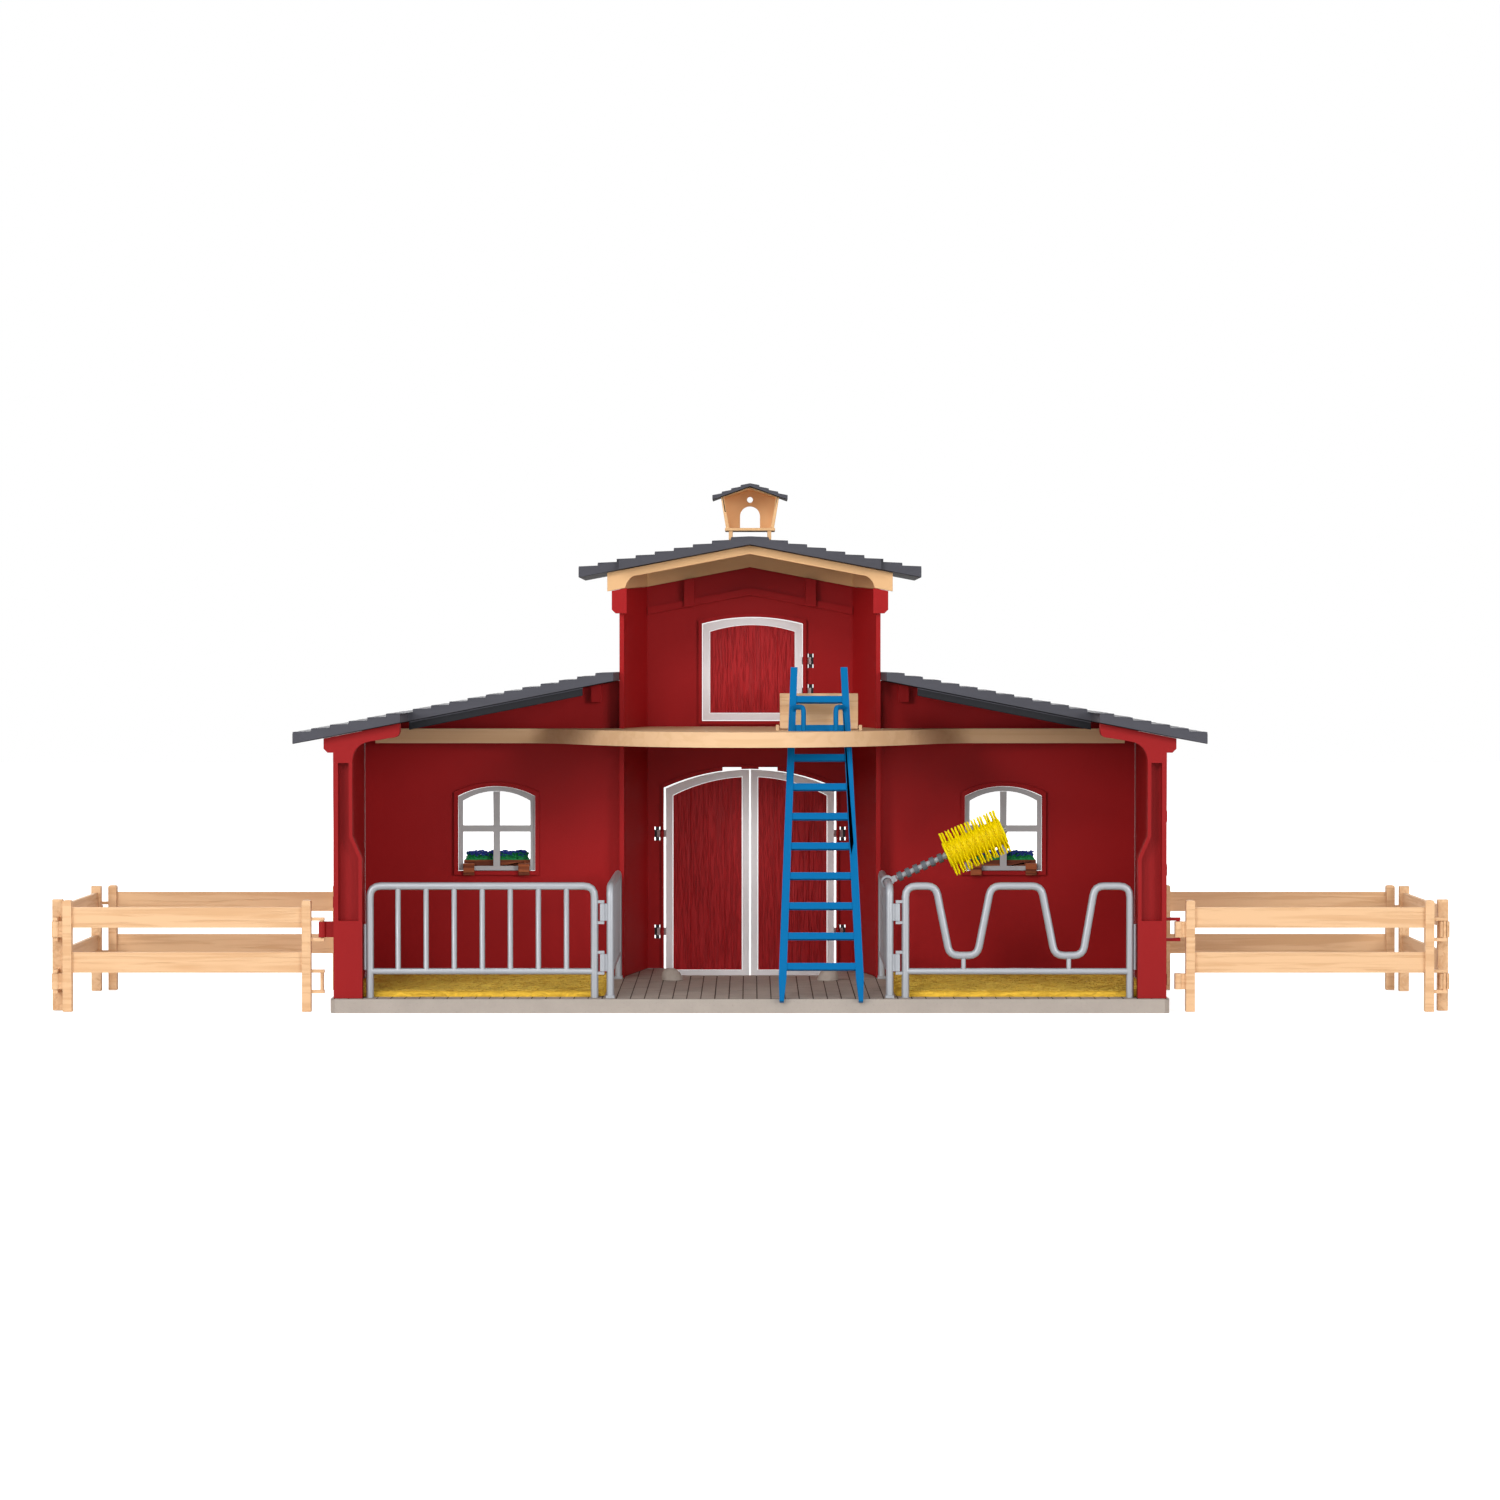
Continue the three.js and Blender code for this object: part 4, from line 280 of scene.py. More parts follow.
def fibrous(name, base, dark):
    """Straw: fibres that cross at many angles, each with its own tone."""
    s = Shader(name)
    warp = s.node("VectorMath", {"operation": "ADD"})
    s.fill(warp.inputs[0], s.plain)
    wander = s.node("TexNoise", Vector=s.plain, Scale=60.0, Detail=2.0)
    shrink = s.node("VectorMath", {"operation": "SCALE"}, Scale=0.012)
    s.link(wander, "Color", shrink, "Vector")
    s.link(shrink, "Vector", warp, 1)
    bands = []
    for turn in (0.2, 1.1, 2.2):
        mapping = s.node("Mapping", Rotation=(0, 0, turn), Scale=(0.14, 1, 1))
        s.link(warp, "Vector", mapping, "Vector")
        bands.append(s.noise(mapping.outputs["Vector"], scale=520, rough=0.6))
    height = s.math("MAXIMUM", s.math("MAXIMUM", bands[0], bands[1]), bands[2])
    patch = s.noise(s.plain, scale=45)
    tone = s.mix(s.ramp(height, low=(0.42, 0.0), high=(0.72, 1.0)), dark, base)
    tone = s.stained(tone, patch, share=0.35, other=shaded(base, 0.8))
    s.shine(0.1)
    return s.finish(Base=tone, Roughness=0.9, Normal=s.bump(height, 0.6 * MM))


def ribbed(name, core, rib, place, tilt, limit):
    """A flexible neck: pale core and darker discs beyond a distance from its leaning axis."""
    s = Shader(name)
    across = s.math("MULTIPLY", s.math("SUBTRACT", s.part("Object", "Z"), place.z), math.cos(tilt))
    back = s.math("MULTIPLY", s.math("SUBTRACT", s.part("Object", "X"), place.x), math.sin(tilt))
    up = s.math("SUBTRACT", across, back)
    deep = s.math("SUBTRACT", s.part("Object", "Y"), place.y)
    square = s.math("ADD", s.math("MULTIPLY", up, up), s.math("MULTIPLY", deep, deep))
    outer = s.math("GREATER_THAN", square, limit * limit)
    slow = s.noise(s.plain, scale=60)
    fine = s.fine(1800)
    tone = s.stained(s.mix(outer, core, rib), slow, share=0.2, other=shaded(rib, 1.5))
    s.shine(0.2)
    return s.finish(Base=tone, Roughness=s.gloss(fine, 0.48), Normal=s.bump(fine, 0.04 * MM))


# The materials, the piece that wears each, and the moulded edges
RED = "a0171a"
SHADE = "0e0f15"
# The painted shade in the joints between the paving stones
JOINT_SHADE = "453c35"
WING_SHADE = WING_EAVE + BODY_HALF * WING_RISE - 1 * MM
NECK_CORE = 2.3 * MM
DOOR_OUTSIDE = 160.4 * MM
TIMBER, TIMBER_DARK = "dfb68c", "c8996d"
MATERIALS = {
    "wall": moulded("wall_red", RED, 0.52, grit=0.08),
    "post": moulded("post_red", "8f1618", 0.52, grit=0.08),
    "neck": ribbed("neck_grey", "a8abaf", "5a5e64", BRUSH_PLACE, BRUSH_TILT, NECK_CORE),
    "slate": slate_like("roof_slate", "44444b"),
    "wing_slate": slate_like("wing_slate", "44444b", WING_RISE, WING_SHADE),
    "timber_x": grained("timber_along_x", TIMBER, TIMBER_DARK, 0, share=0.55),
    "timber_y": grained("timber_along_y", TIMBER, TIMBER_DARK, 1, share=0.55),
    "loft": grained("loft_timber", "deb78e", "d0a67b", 0, 0.5, 0.05, rows=200, share=0.4, stretch=0.02),
    "timber": moulded("timber_plain", "e0b382", 0.55, grit=0.08),
    "stone": stone_like("moulded_stone", "a99f96", joint=JOINT_SHADE),
    "white": moulded("frame_white", "bcbec0", 0.42, grit=0.03, spread=0.03),
    "door_white": moulded("door_white", "f0f1f3", 0.45, 0.03, spread=0.02, beyond=(DOOR_OUTSIDE, "46484c")),
    "panel": grained("panel_red", "a01b1e", "5e0d11", 2, 0.5, depth=0.6, rows=240),
    "steel": painted_steel("gate_silver", "a3a6ab", 0.4, metal=0.2),
    "dark": painted_steel("dark_grey", "565a60", 0.42, metal=0.1),
    "blue": moulded("ladder_blue", "03679f", 0.45, grit=0.04, spread=0.06, shine=0.06),
    "yellow": moulded("bristle_yellow", "ffe800", 0.4, grit=0.02, spread=0.06),
    "straw": fibrous("straw_mat", "f6c846", "b0862a"),
    "boards": grained("board_red", "ae2024", "7c1216", 2, 0.46, 0.3, rows=1000, share=0.5, stretch=0.06),
    # The dark sides colour is painted shade in the gaps between the paving stones
    "paving": stone_like("paving_blocks", "aca096", sides="2e2721", low=0.72, high=1.2, pit=0.4),
    "fibre": moulded("straw_fibre", "f0c454", 0.7, grit=0.02, spread=0.35, grit_scale=500),
    "brown": grained("planter_brown", "a85c38", "6a3420", 0, rows=420),
    "leaf": moulded("leaf_green", "1d8a4a", spread=0.3),
    "bloom": moulded("bloom_blue", "2b439a", spread=0.25),
}

DRESS = {
    "base_floor": "stone",
    "tower_wall": "wall",
    "tower_gable": "timber",
    "tower_roof": "slate",
    "cupola_house": "timber",
    "cupola_roof": "slate",
    "loft_platform": "loft",
    "trap_door": "timber_x",
    "ladder": "blue",
    "brush_clip": "steel",
    "brush_neck": "neck",
    "brush_roller": "yellow",
}
for _, word in SIDES:
    DRESS.update({f"{word}_side_wall": "post", f"{word}_back_wall": "wall"})
    DRESS.update({f"{word}_wing_roof": "wing_slate", f"{word}_window_frame": "white"})
    DRESS.update({f"{word}_planter": "brown", f"{word}_foliage": "leaf"})
    DRESS.update({f"{word}_flowers": "bloom", f"{word}_straw_mat": "straw"})
    DRESS.update({f"{word}_partition": "steel", f"{word}_gate": "steel"})
    DRESS.update({f"{word}_fence_front": "timber_x", f"{word}_fence_back": "timber_x"})
    DRESS[f"{word}_fence_end"] = "timber_y"
for door in ("left_door", "right_door", "loft_door"):
    DRESS.update({f"{door}_frame": "door_white", f"{door}_panel": "panel"})
    DRESS.update({f"{door}_pin_1": "dark", f"{door}_pin_2": "dark"})

TUBULAR = {"ladder", "brush_clip", "brush_neck", "brush_roller"}
TUBULAR |= {f"{word}_{kind}" for _, word in SIDES for kind in ("gate", "partition")}
FINE = {"brush_neck", "brush_clip"}
EDGE_ROUND = 0.45 * MM
FINE_ROUND = 0.18 * MM
LIP_ROUND = 0.3 * MM
WELD_REACH = 0.001 * MM
SMOOTH_ANGLE = math.radians(38)
TUBE_ANGLE = math.radians(50)


def bevelled(obj, width):
    """Rounds an object's edges in two steps."""
    edges = obj.modifiers.new("edges", "BEVEL")
    edges.width = width
    edges.segments = 2
    return edges


def soften(obj, width, angle):
    """Rounds the sharp edges, as a mould does, and shades the rest smooth."""
    mesh = obj.data
    custom = mesh.attributes.get("custom_normal")
    if custom is not None:
        mesh.attributes.remove(custom)
    mesh.shade_smooth()
    weld = obj.modifiers.new("weld", "WELD")
    weld.merge_threshold = WELD_REACH
    edges = bevelled(obj, width)
    edges.limit_method = "ANGLE"
    edges.angle_limit = angle
    edges.harden_normals = True
    edges.use_clamp_overlap = True


def paint(obj, material):
    obj.data.materials.clear()
    obj.data.materials.append(material)


for name, material in DRESS.items():
    paint(nodes[name], MATERIALS[material])
    width = FINE_ROUND if name in FINE else EDGE_ROUND
    soften(nodes[name], width, TUBE_ANGLE if name in TUBULAR else SMOOTH_ANGLE)


# What the pieces below are built with
NO_STRAND = Vector((0.31, 0.17, 0.94))


def wavy(x, y, z):
    """Smooth noise at a place, from about -1 to 1."""
    return mathutils.noise.noise(Vector((x, y, z)))


def band(low, high, count):
    """The faces between two closed rings, given as each ring's first point."""
    faces = []
    for k in range(count):
        other = (k + 1) % count
        faces.append((low + k, low + other, high + other, high + k))
    return faces


def disc(start, count):
    """A face over one ring of points."""
    return tuple(range(start, start + count))


def turned(face):
    return tuple(reversed(face))


def built(name, verts, faces, material, body, smooth=None):
    """A piece from points and faces, painted and set to ride on its body."""
    mesh = bpy.data.meshes.new(name)
    mesh.from_pydata(verts, [], faces)
    mesh.validate()
    obj = bpy.data.objects.new(name, mesh)
    bpy.context.scene.collection.objects.link(obj)
    if smooth is not None:
        mesh.shade_smooth()
        mesh.set_sharp_from_angle(angle=smooth)
    paint(obj, MATERIALS[material])
    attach(obj, body)
    return obj


class Strands:
    """Many thin fibres gathered in one mesh."""

    def __init__(self):
        self.verts = []
        self.faces = []

    def add(self, points, radii, sides=3):
        start = len(self.verts)
        count = len(points)
        for i, (point, radius) in enumerate(zip(points, radii)):
            before = points[max(i - 1, 0)]
            after = points[min(i + 1, count - 1)]
            along = (after - before).normalized()
            across = along.cross(NO_STRAND).normalized()
            up = along.cross(across)
            for k in range(sides):
                angle = math.tau * k / sides
                spoke = across * math.cos(angle) + up * math.sin(angle)
                self.verts.append(point + spoke * radius)
        last = start + (count - 1) * sides
        for low in range(start, last, sides):
            self.faces += band(low, low + sides, sides)
        self.faces.append(turned(disc(start, sides)))
        self.faces.append(disc(last, sides))


# The straw mats: a crown given as insets in millimetres and shares of the height, with lumps and fibres
MAT_CORNER = 11 * MM
MAT_CORNER_LEAST = 0.2 * MM
MAT_CORNER_STEPS = 10
MAT_CROWN_SHARES = ((0, 0), (0, 0.34), (0.25, 0.62), (0.8, 0.82), (1.8, 0.93), (3.4, 0.98), (6, 1.0))
MAT_PITCH = 3.2 * MM
MAT_RINGS = 25
MAT_FIBRE_ROOM = 0.5 * MM
MAT_LUMPS = ((130, 3, 0.35 * MM), (420, 9, 0.22 * MM))
FIBRES = 3400
FIBRE_POINTS = 4
FIBRE_LENGTHS = (4 * MM, 11 * MM)
FIBRE_EDGE_RATIO = 1.5
FIBRE_RADII = (0.14 * MM, 0.24 * MM)
FIBRE_TIP_SHARE = 0.6
FIBRE_SPREAD = 0.7
FIBRE_CROSSED_SHARE = 0.25
FIBRE_BEND = 0.22
FIBRE_INSET = 2.4 * MM
FIBRE_REACH_INSET = 1.6 * MM
FIBRE_EDGE = 4 * MM
FIBRE_EDGE_SHARE = 0.93
FIBRE_SINK = 0.05 * MM
FIBRE_STAND = 0.34 * MM
FIBRE_CORNER_ROOM = 3 * MM
SMOOTH_SOFT = math.radians(60)


def rounded_box(low, high, inset):
    """Points round a rectangle with rounded corners, drawn in by inset, all in the same order."""
    points = []
    radius = max(MAT_CORNER - inset, MAT_CORNER_LEAST)
    for turn, (x, y) in enumerate(((1, 1), (-1, 1), (-1, -1), (1, -1))):
        centre_x = high[0] - MAT_CORNER if x > 0 else low[0] + MAT_CORNER
        centre_y = high[1] - MAT_CORNER if y > 0 else low[1] + MAT_CORNER
        for k in range(MAT_CORNER_STEPS + 1):
            angle = math.pi / 2 * (turn + k / MAT_CORNER_STEPS)
            points.append((centre_x + radius * math.cos(angle), centre_y + radius * math.sin(angle)))
    return points


def straw_bed(word, low, high, tall):
    """The mat's body, in rings from its foot to its middle."""
    corners = rounded_box(low, high, 0)
    counts = []
    for (x0, y0), (x1, y1) in zip(corners, corners[1:] + corners[:1]):
        counts.append(max(1, round(math.hypot(x1 - x0, y1 - y0) / MAT_PITCH)))
    verts = []

    def ring(points, height, wave):
        for i, (x0, y0) in enumerate(points):
            x1, y1 = points[(i + 1) % len(points)]
            for k in range(counts[i]):
                x = x0 + (x1 - x0) * k / counts[i]
                y = y0 + (y1 - y0) * k / counts[i]
                z = low[2] + height
                for scale, layer, reach in MAT_LUMPS:
                    z += wavy(x * scale, y * scale, layer) * reach * wave
                verts.append((x, y, z))

    for inset, share in MAT_CROWN_SHARES:
        ring(rounded_box(low, high, inset * MM), tall * share, share)
    middle_x, middle_y = (low[0] + high[0]) / 2, (low[1] + high[1]) / 2
    inner = rounded_box(low, high, MAT_CROWN_SHARES[-1][0] * MM)
    for k in range(1, MAT_RINGS):
        share = 1 - k / MAT_RINGS
        drawn_in = [(middle_x + (x - middle_x) * share, middle_y + (y - middle_y) * share) for x, y in inner]
        ring(drawn_in, tall, 1)
    per = sum(counts)
    last = len(verts) - per
    faces = []
    for first in range(0, last, per):
        faces += band(first, first + per, per)
    faces.append(disc(last, per))
    faces.append(turned(disc(0, per)))
    body = built(f"{word}_straw_bed", verts, faces, "straw", "barn", SMOOTH_SOFT)
    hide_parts(f"{word}_straw_mat")


def straw_mat(word):
    """A trampled mat of straw: a soft crowned body with fibres that lie and stand on it."""
    low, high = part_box(f"{word}_straw_mat")
    tall = high[2] - low[2] - MAT_FIBRE_ROOM
    straw_bed(word, low, high, tall)

    straws = Strands()
    for _ in range(FIBRES):
        x = random.uniform(low[0] + FIBRE_INSET, high[0] - FIBRE_INSET)
        y = random.uniform(low[1] + FIBRE_INSET, high[1] - FIBRE_INSET)
        edge = min(x - low[0], high[0] - x, y - low[1], high[1] - y)
        heading = random.gauss(0, FIBRE_SPREAD)
        if random.random() < FIBRE_CROSSED_SHARE:
            heading += math.pi / 2
        length = min(random.uniform(*FIBRE_LENGTHS), edge * FIBRE_EDGE_RATIO)
        step = length / (FIBRE_POINTS - 1)
        lift = tall * (FIBRE_EDGE_SHARE if edge < FIBRE_EDGE else 1.0) - FIBRE_SINK
        points = []
        for _ in range(FIBRE_POINTS):
            heading += random.uniform(-FIBRE_BEND, FIBRE_BEND)
            points.append(Vector((x, y, low[2] + lift + random.uniform(0, FIBRE_STAND))))
            x += math.cos(heading) * step
            y += math.sin(heading) * step
            x = min(max(x, low[0] + FIBRE_REACH_INSET), high[0] - FIBRE_REACH_INSET)
            y = min(max(y, low[1] + FIBRE_REACH_INSET), high[1] - FIBRE_REACH_INSET)
        gap_x = max(low[0] + MAT_CORNER - x, x - high[0] + MAT_CORNER)
        gap_y = max(low[1] + MAT_CORNER - y, y - high[1] + MAT_CORNER)
        if gap_x > 0 and gap_y > 0 and math.hypot(gap_x, gap_y) > MAT_CORNER - FIBRE_CORNER_ROOM:
            continue
        thick = random.uniform(*FIBRE_RADII)
        straws.add(points, (thick, thick, thick, thick * FIBRE_TIP_SHARE))
    loose = built(f"{word}_straw_fibres", straws.verts, straws.faces, "fibre", "barn", None)
    loose.data.shade_smooth()


straw_mat("left")
straw_mat("right")


# The doors' boards: carved planks with cathedral grain on both faces
BOARD_STEP_ACROSS = 0.3 * MM
BOARD_STEP_UP = 1.7 * MM
GRAIN_PITCH = 1.25 * MM
GRAIN_DEPTH = 0.15 * MM
GRAIN_LEAST_SHARE = 0.08
GRAIN_WANDER = 2.3 * MM
GRAIN_WANDER_SCALES = (90, 22)
GRAIN_FADE_SCALES = (150, 12)
GRAIN_FADE_LAYER = 40
GRAIN_LAYERS = 90
GRAIN_LEANS = (0.03, 0.055)
GRAIN_EVEN_SHARE = 0.45
EYE_OFFSET_SHARE = 0.25
EYE_HEIGHT_SHARES = (0.15, 0.85)
RING_WANDER_SHARE = 0.3
GROOVE_DEPTH = 0.45 * MM
GROOVE_HALF = 0.55 * MM
GROOVE_ROUNDNESS = 0.7
SMOOTH_CARVED = math.radians(50)


def plank_style(width):
    """A plank's own grain: its eye's offset and share of the height, its lean and its noise layer."""
    off = random.uniform(-EYE_OFFSET_SHARE, EYE_OFFSET_SHARE) * width
    share = random.uniform(*EYE_HEIGHT_SHARES)
    lean = random.uniform(*GRAIN_LEANS)
    return off, share, lean, random.random() * GRAIN_LAYERS


def boards(door, centre, half, shoulder, rise, count):
    """Planks that fill one leaf's frame under the arch which both leaves share."""
    node = f"{door}_panel"
    low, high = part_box(node)
    radius = (half * half + rise * rise) / (2 * rise)
    across = max(2, round((high[0] - low[0]) / BOARD_STEP_ACROSS))
    up = max(2, round((high[2] - low[2]) / BOARD_STEP_UP))
    width = (high[0] - low[0]) / count
    styles = [plank_style(width) for _ in range(count)]

    def carve(x, z, face):
        at = (x - low[0]) / width
        plank = min(int(at), count - 1)
        off, share, lean, layer = styles[plank if face < 0 else count - 1 - plank]
        middle = low[0] + (plank + 0.5) * width + off
        eye = low[2] + share * (high[2] - low[2])
        scale_x, scale_z = GRAIN_WANDER_SCALES
        wander = wavy(x * scale_x, z * scale_z, layer) * GRAIN_WANDER
        ring = math.hypot(x - middle + wander, (z - eye) * lean) + wander * RING_WANDER_SHARE
        line = 0.5 + 0.5 * math.cos(math.tau * ring / GRAIN_PITCH)
        scale_x, scale_z = GRAIN_FADE_SCALES
        fade = wavy(x * scale_x, z * scale_z, layer + GRAIN_FADE_LAYER)
        strength = GRAIN_EVEN_SHARE + (1 - GRAIN_EVEN_SHARE) * fade
        depth = GRAIN_DEPTH * line**3 * max(strength, GRAIN_LEAST_SHARE)
        near = min(at - int(at), int(at) + 1 - at) * width
        if 0 < round(at) < count and near < GROOVE_HALF:
            depth = max(depth, GROOVE_DEPTH * (1 - near / GROOVE_HALF) ** GROOVE_ROUNDNESS)
        return depth

    verts = []
    for face, y in ((-1, low[1]), (1, high[1])):
        for i in range(across + 1):
            x = low[0] + (high[0] - low[0]) * i / across
            reach = min(abs(x - centre), radius)
            top = shoulder + rise - radius + math.sqrt(radius * radius - reach * reach)
            for k in range(up + 1):
                z = low[2] + (min(top, high[2]) - low[2]) * k / up
                edge = i in (0, across) or k in (0, up)
                verts.append((x, y - face * (0 if edge else carve(x, z, face)), z))
    tall = up + 1
    sheet = (across + 1) * tall
    faces = []
    for i in range(across):
        for k in range(up):
            a = i * tall + k
            faces.append((a, a + tall, a + tall + 1, a + 1))
            faces.append((sheet + a, sheet + a + 1, sheet + a + tall + 1, sheet + a + tall))
    for i in range(across):
        for k in (0, up):
            a = i * tall + k
            quad = (a, a + sheet, a + sheet + tall, a + tall)
            faces.append(quad if k == 0 else turned(quad))
    for k in range(up):
        for i in (0, across):
            a = i * tall + k
            quad = (a, a + 1, a + sheet + 1, a + sheet)
            faces.append(quad if i == 0 else turned(quad))
    planks = built(f"{door}_boards", verts, faces, "boards", door, SMOOTH_CARVED)
    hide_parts(node)


for door in ("left_door", "right_door"):
    boards(door, centre=0, half=53.25 * MM, shoulder=129 * MM, rise=13 * MM, count=4)
boards("loft_door", centre=1.7 * MM, half=29.3 * MM, shoulder=242.6 * MM, rise=4.6 * MM, count=5)


# Paving stones on the floor, in staggered rows, with the joints left open
STONE_WIDE = 8.9 * MM
STONE_LONG = 17.8 * MM
STONE_JOINT = 0.7 * MM
STONE_TOP = 9.27 * MM
STONE_UNEVEN = 0.08 * MM
STONE_EDGE = 0.3 * MM
STONE_EDGE_DROP = 0.08 * MM
STONE_COLUMNS = 30
STONE_ROWS = 14
PAVED_FRONT = -89.8 * MM
PAVED_HALF = 264.6 * MM
PAVED_BACK = 84.8 * MM
NOTCH_HALF = 60 * MM
NOTCH_FRONT = 97 * MM
BAY_FRONT_HALF, BAY_FRONT = 84.2 * MM, 88 * MM
BAY_BACK_HALF, BAY_BACK = 70.6 * MM, 156.6 * MM


def clipped(polygon, normal_x, normal_y, limit):
    """A polygon cut to the half plane normal . point <= limit."""

    def past(p):
        return normal_x * p[0] + normal_y * p[1] - limit

    kept = []
    for a, b in zip(polygon, polygon[1:] + polygon[:1]):
        if past(a) <= 0:
            kept.append(a)
        if (past(a) <= 0) != (past(b) <= 0):
            share = past(a) / (past(a) - past(b))
            kept.append((a[0] + (b[0] - a[0]) * share, a[1] + (b[1] - a[1]) * share))
    return kept


def limits(centre_x):
    """The half planes that a column of stones is cut to."""
    if abs(centre_x) >= BAY_FRONT_HALF + STONE_JOINT / 2:
        return [(-1, 0, PAVED_HALF), (1, 0, PAVED_HALF), (0, 1, PAVED_BACK)]
    slope = (BAY_FRONT_HALF - BAY_BACK_HALF) / (BAY_BACK - BAY_FRONT)
    splay = BAY_FRONT_HALF + slope * BAY_FRONT
    cuts = [(-1, slope, splay), (1, slope, splay), (0, 1, BAY_BACK)]
    if abs(centre_x) < NOTCH_HALF:
        cuts.append((0, 1, NOTCH_FRONT))
    return cuts


def paving():
    verts, faces = [], []
    half = STONE_JOINT / 2
    for column in range(-STONE_COLUMNS, STONE_COLUMNS + 1):
        centre_x = column * STONE_WIDE
        low_x = centre_x - STONE_WIDE / 2 + half
        high_x = centre_x + STONE_WIDE / 2 - half
        for row in range(-1, STONE_ROWS):
            low_y = PAVED_FRONT + (row + (0.5 if column % 2 else 0)) * STONE_LONG
            high_y = low_y + STONE_LONG - half
            low_y = max(low_y + half, PAVED_FRONT)
            if high_y - low_y < STONE_JOINT:
                continue
            tile = [(low_x, low_y), (high_x, low_y), (high_x, high_y), (low_x, high_y)]
            for cut in limits(centre_x):
                tile = clipped(tile, *cut)
            count = len(tile)
            if count < 3:
                continue
            top = STONE_TOP - random.uniform(0, STONE_UNEVEN)
            start = len(verts)
            middle_x = sum(p[0] for p in tile) / count
            middle_y = sum(p[1] for p in tile) / count
            verts += [(x, y, BASE_TOP) for x, y in tile]
            verts += [(x, y, top - STONE_EDGE_DROP) for x, y in tile]
            for x, y in tile:
                pull = 1 - STONE_EDGE / math.hypot(x - middle_x, y - middle_y)
                verts.append((middle_x + (x - middle_x) * pull, middle_y + (y - middle_y) * pull, top))
            faces += band(start, start + count, count)
            faces += band(start + count, start + 2 * count, count)
            faces.append(disc(start + 2 * count, count))
    built("floor_stones", verts, faces, "paving", "barn", None)


paving()


# Guard stones in front of the doorway's corners
GUARD_PLACE = (52 * MM, 55 * MM)
GUARD_RADIUS = 7.2 * MM
GUARD_HEIGHT = 8.3 * MM
GUARD_LEAN_SHARE = 0.0352
GUARD_ROUNDNESS = 0.8
GUARD_DRIFT = 1.4 * MM
GUARD_DEPTH_SHARE = 0.9
GUARD_ROUGH = 0.35 * MM
GUARD_ROUGH_SCALE = 300
GUARD_RINGS = 14
GUARD_AROUND = 40


def guard_stone(side, word):
    """A rounded stone that leans outward a little."""
    verts, faces = [], []
    for i in range(GUARD_RINGS + 1):
        climb = math.pi / 2 * i / GUARD_RINGS
        drift = side * GUARD_DRIFT * math.sin(climb)
        for k in range(GUARD_AROUND):
            angle = math.tau * k / GUARD_AROUND
            lean = GUARD_LEAN_SHARE * math.cos(angle) * side
            reach = GUARD_RADIUS * math.cos(climb) ** GUARD_ROUNDNESS * (1 - lean)
            x, y = math.cos(angle) * reach, math.sin(angle) * reach * GUARD_DEPTH_SHARE
            z = BASE_TOP + GUARD_HEIGHT * math.sin(climb)
            if i:
                z += wavy(x * GUARD_ROUGH_SCALE, y * GUARD_ROUGH_SCALE, climb * 2 + side) * GUARD_ROUGH
            verts.append((side * GUARD_PLACE[0] + x + drift, GUARD_PLACE[1] + y, z))
    last = GUARD_RINGS * GUARD_AROUND
    for first in range(0, last, GUARD_AROUND):
        faces += band(first, first + GUARD_AROUND, GUARD_AROUND)
    faces.append(disc(last, GUARD_AROUND))
    faces.append(turned(disc(0, GUARD_AROUND)))
    built(f"{word}_guard_stone", verts, faces, "paving", "barn", SMOOTH_SOFT)


for side, word in SIDES:
    guard_stone(side, word)


# Moulded lips behind the walls' tops, that close the seam under the roofs
LIP_THICK = 1.2 * MM
WING_LIP = {"near": 88.6 * MM, "far": 262 * MM, "back": 88.05 * MM, "under": 1.8 * MM, "over": -0.05 * MM}
TOWER_LIP = {"near": 0, "far": 73 * MM, "back": 160.05 * MM, "under": 2.0 * MM, "over": -1.4 * MM}


def lip(name, side, line, near, far, back, under, over):
    """A thin strip along a sloping line, from under it to over it."""
    verts = []
    for y in (back, back + LIP_THICK):
        for x in (near, far):
            verts += [(side * x, y, line(x) - under), (side * x, y, line(x) - over)]
    faces = [(0, 2, 3, 1), (4, 5, 7, 6), (0, 4, 6, 2), (1, 3, 7, 5), (0, 1, 5, 4), (2, 6, 7, 3)]
    if side < 0:
        faces = [turned(face) for face in faces]
    bevelled(built(name, verts, faces, "wall", "barn", None), LIP_ROUND)


tower_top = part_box("tower_wall")[1][2]
for side, word in SIDES:
    lip(f"{word}_wing_lip", side, lambda x: WING_EAVE + (BODY_HALF - x) * WING_RISE, **WING_LIP)
    lip(f"{word}_tower_lip", side, lambda x: tower_top - x * TOWER_RISE, **TOWER_LIP)


# Roof tiles: thin split shingles on every course of the solids' roofs
SHINGLE_WIDE = 17 * MM
SHINGLE_THICK = 0.7 * MM
SHINGLE_GAP = 0.5 * MM
SHINGLE_LEAST = 1.2 * MM
SHINGLE_START_SHARE = 0.012
SHINGLE_END_SHARE = 0.985
SHINGLE_THIN_SHARE = 0.25
SHINGLE_WIDTH_SHARES = (0.86, 1.14)
SHINGLE_THICK_SHARES = (0.75, 1.0)
LAST_SHARE = 0.3
WING_COURSES = 17
TOWER_COURSES = 9
TOWER_EAVE_COURSES = 2
WING_OVERHANG = 25 * MM
TOWER_OVERHANG = 27 * MM
WING_ROOF_GAP = 0.3 * MM
ROOF_PLATE = 5.4 * MM
COURSE_STEP = 1.4 * MM
WING_BACK = 99.8 * MM
WING_FRONT_OUT = -93.8 * MM
WING_FRONT_IN = -33.8 * MM
WING_OUT_BEYOND = 220 * MM
TOWER_BACK = 171.8 * MM
TOWER_FRONT_EAVE = 65.2 * MM
TOWER_FRONT = 61.2 * MM


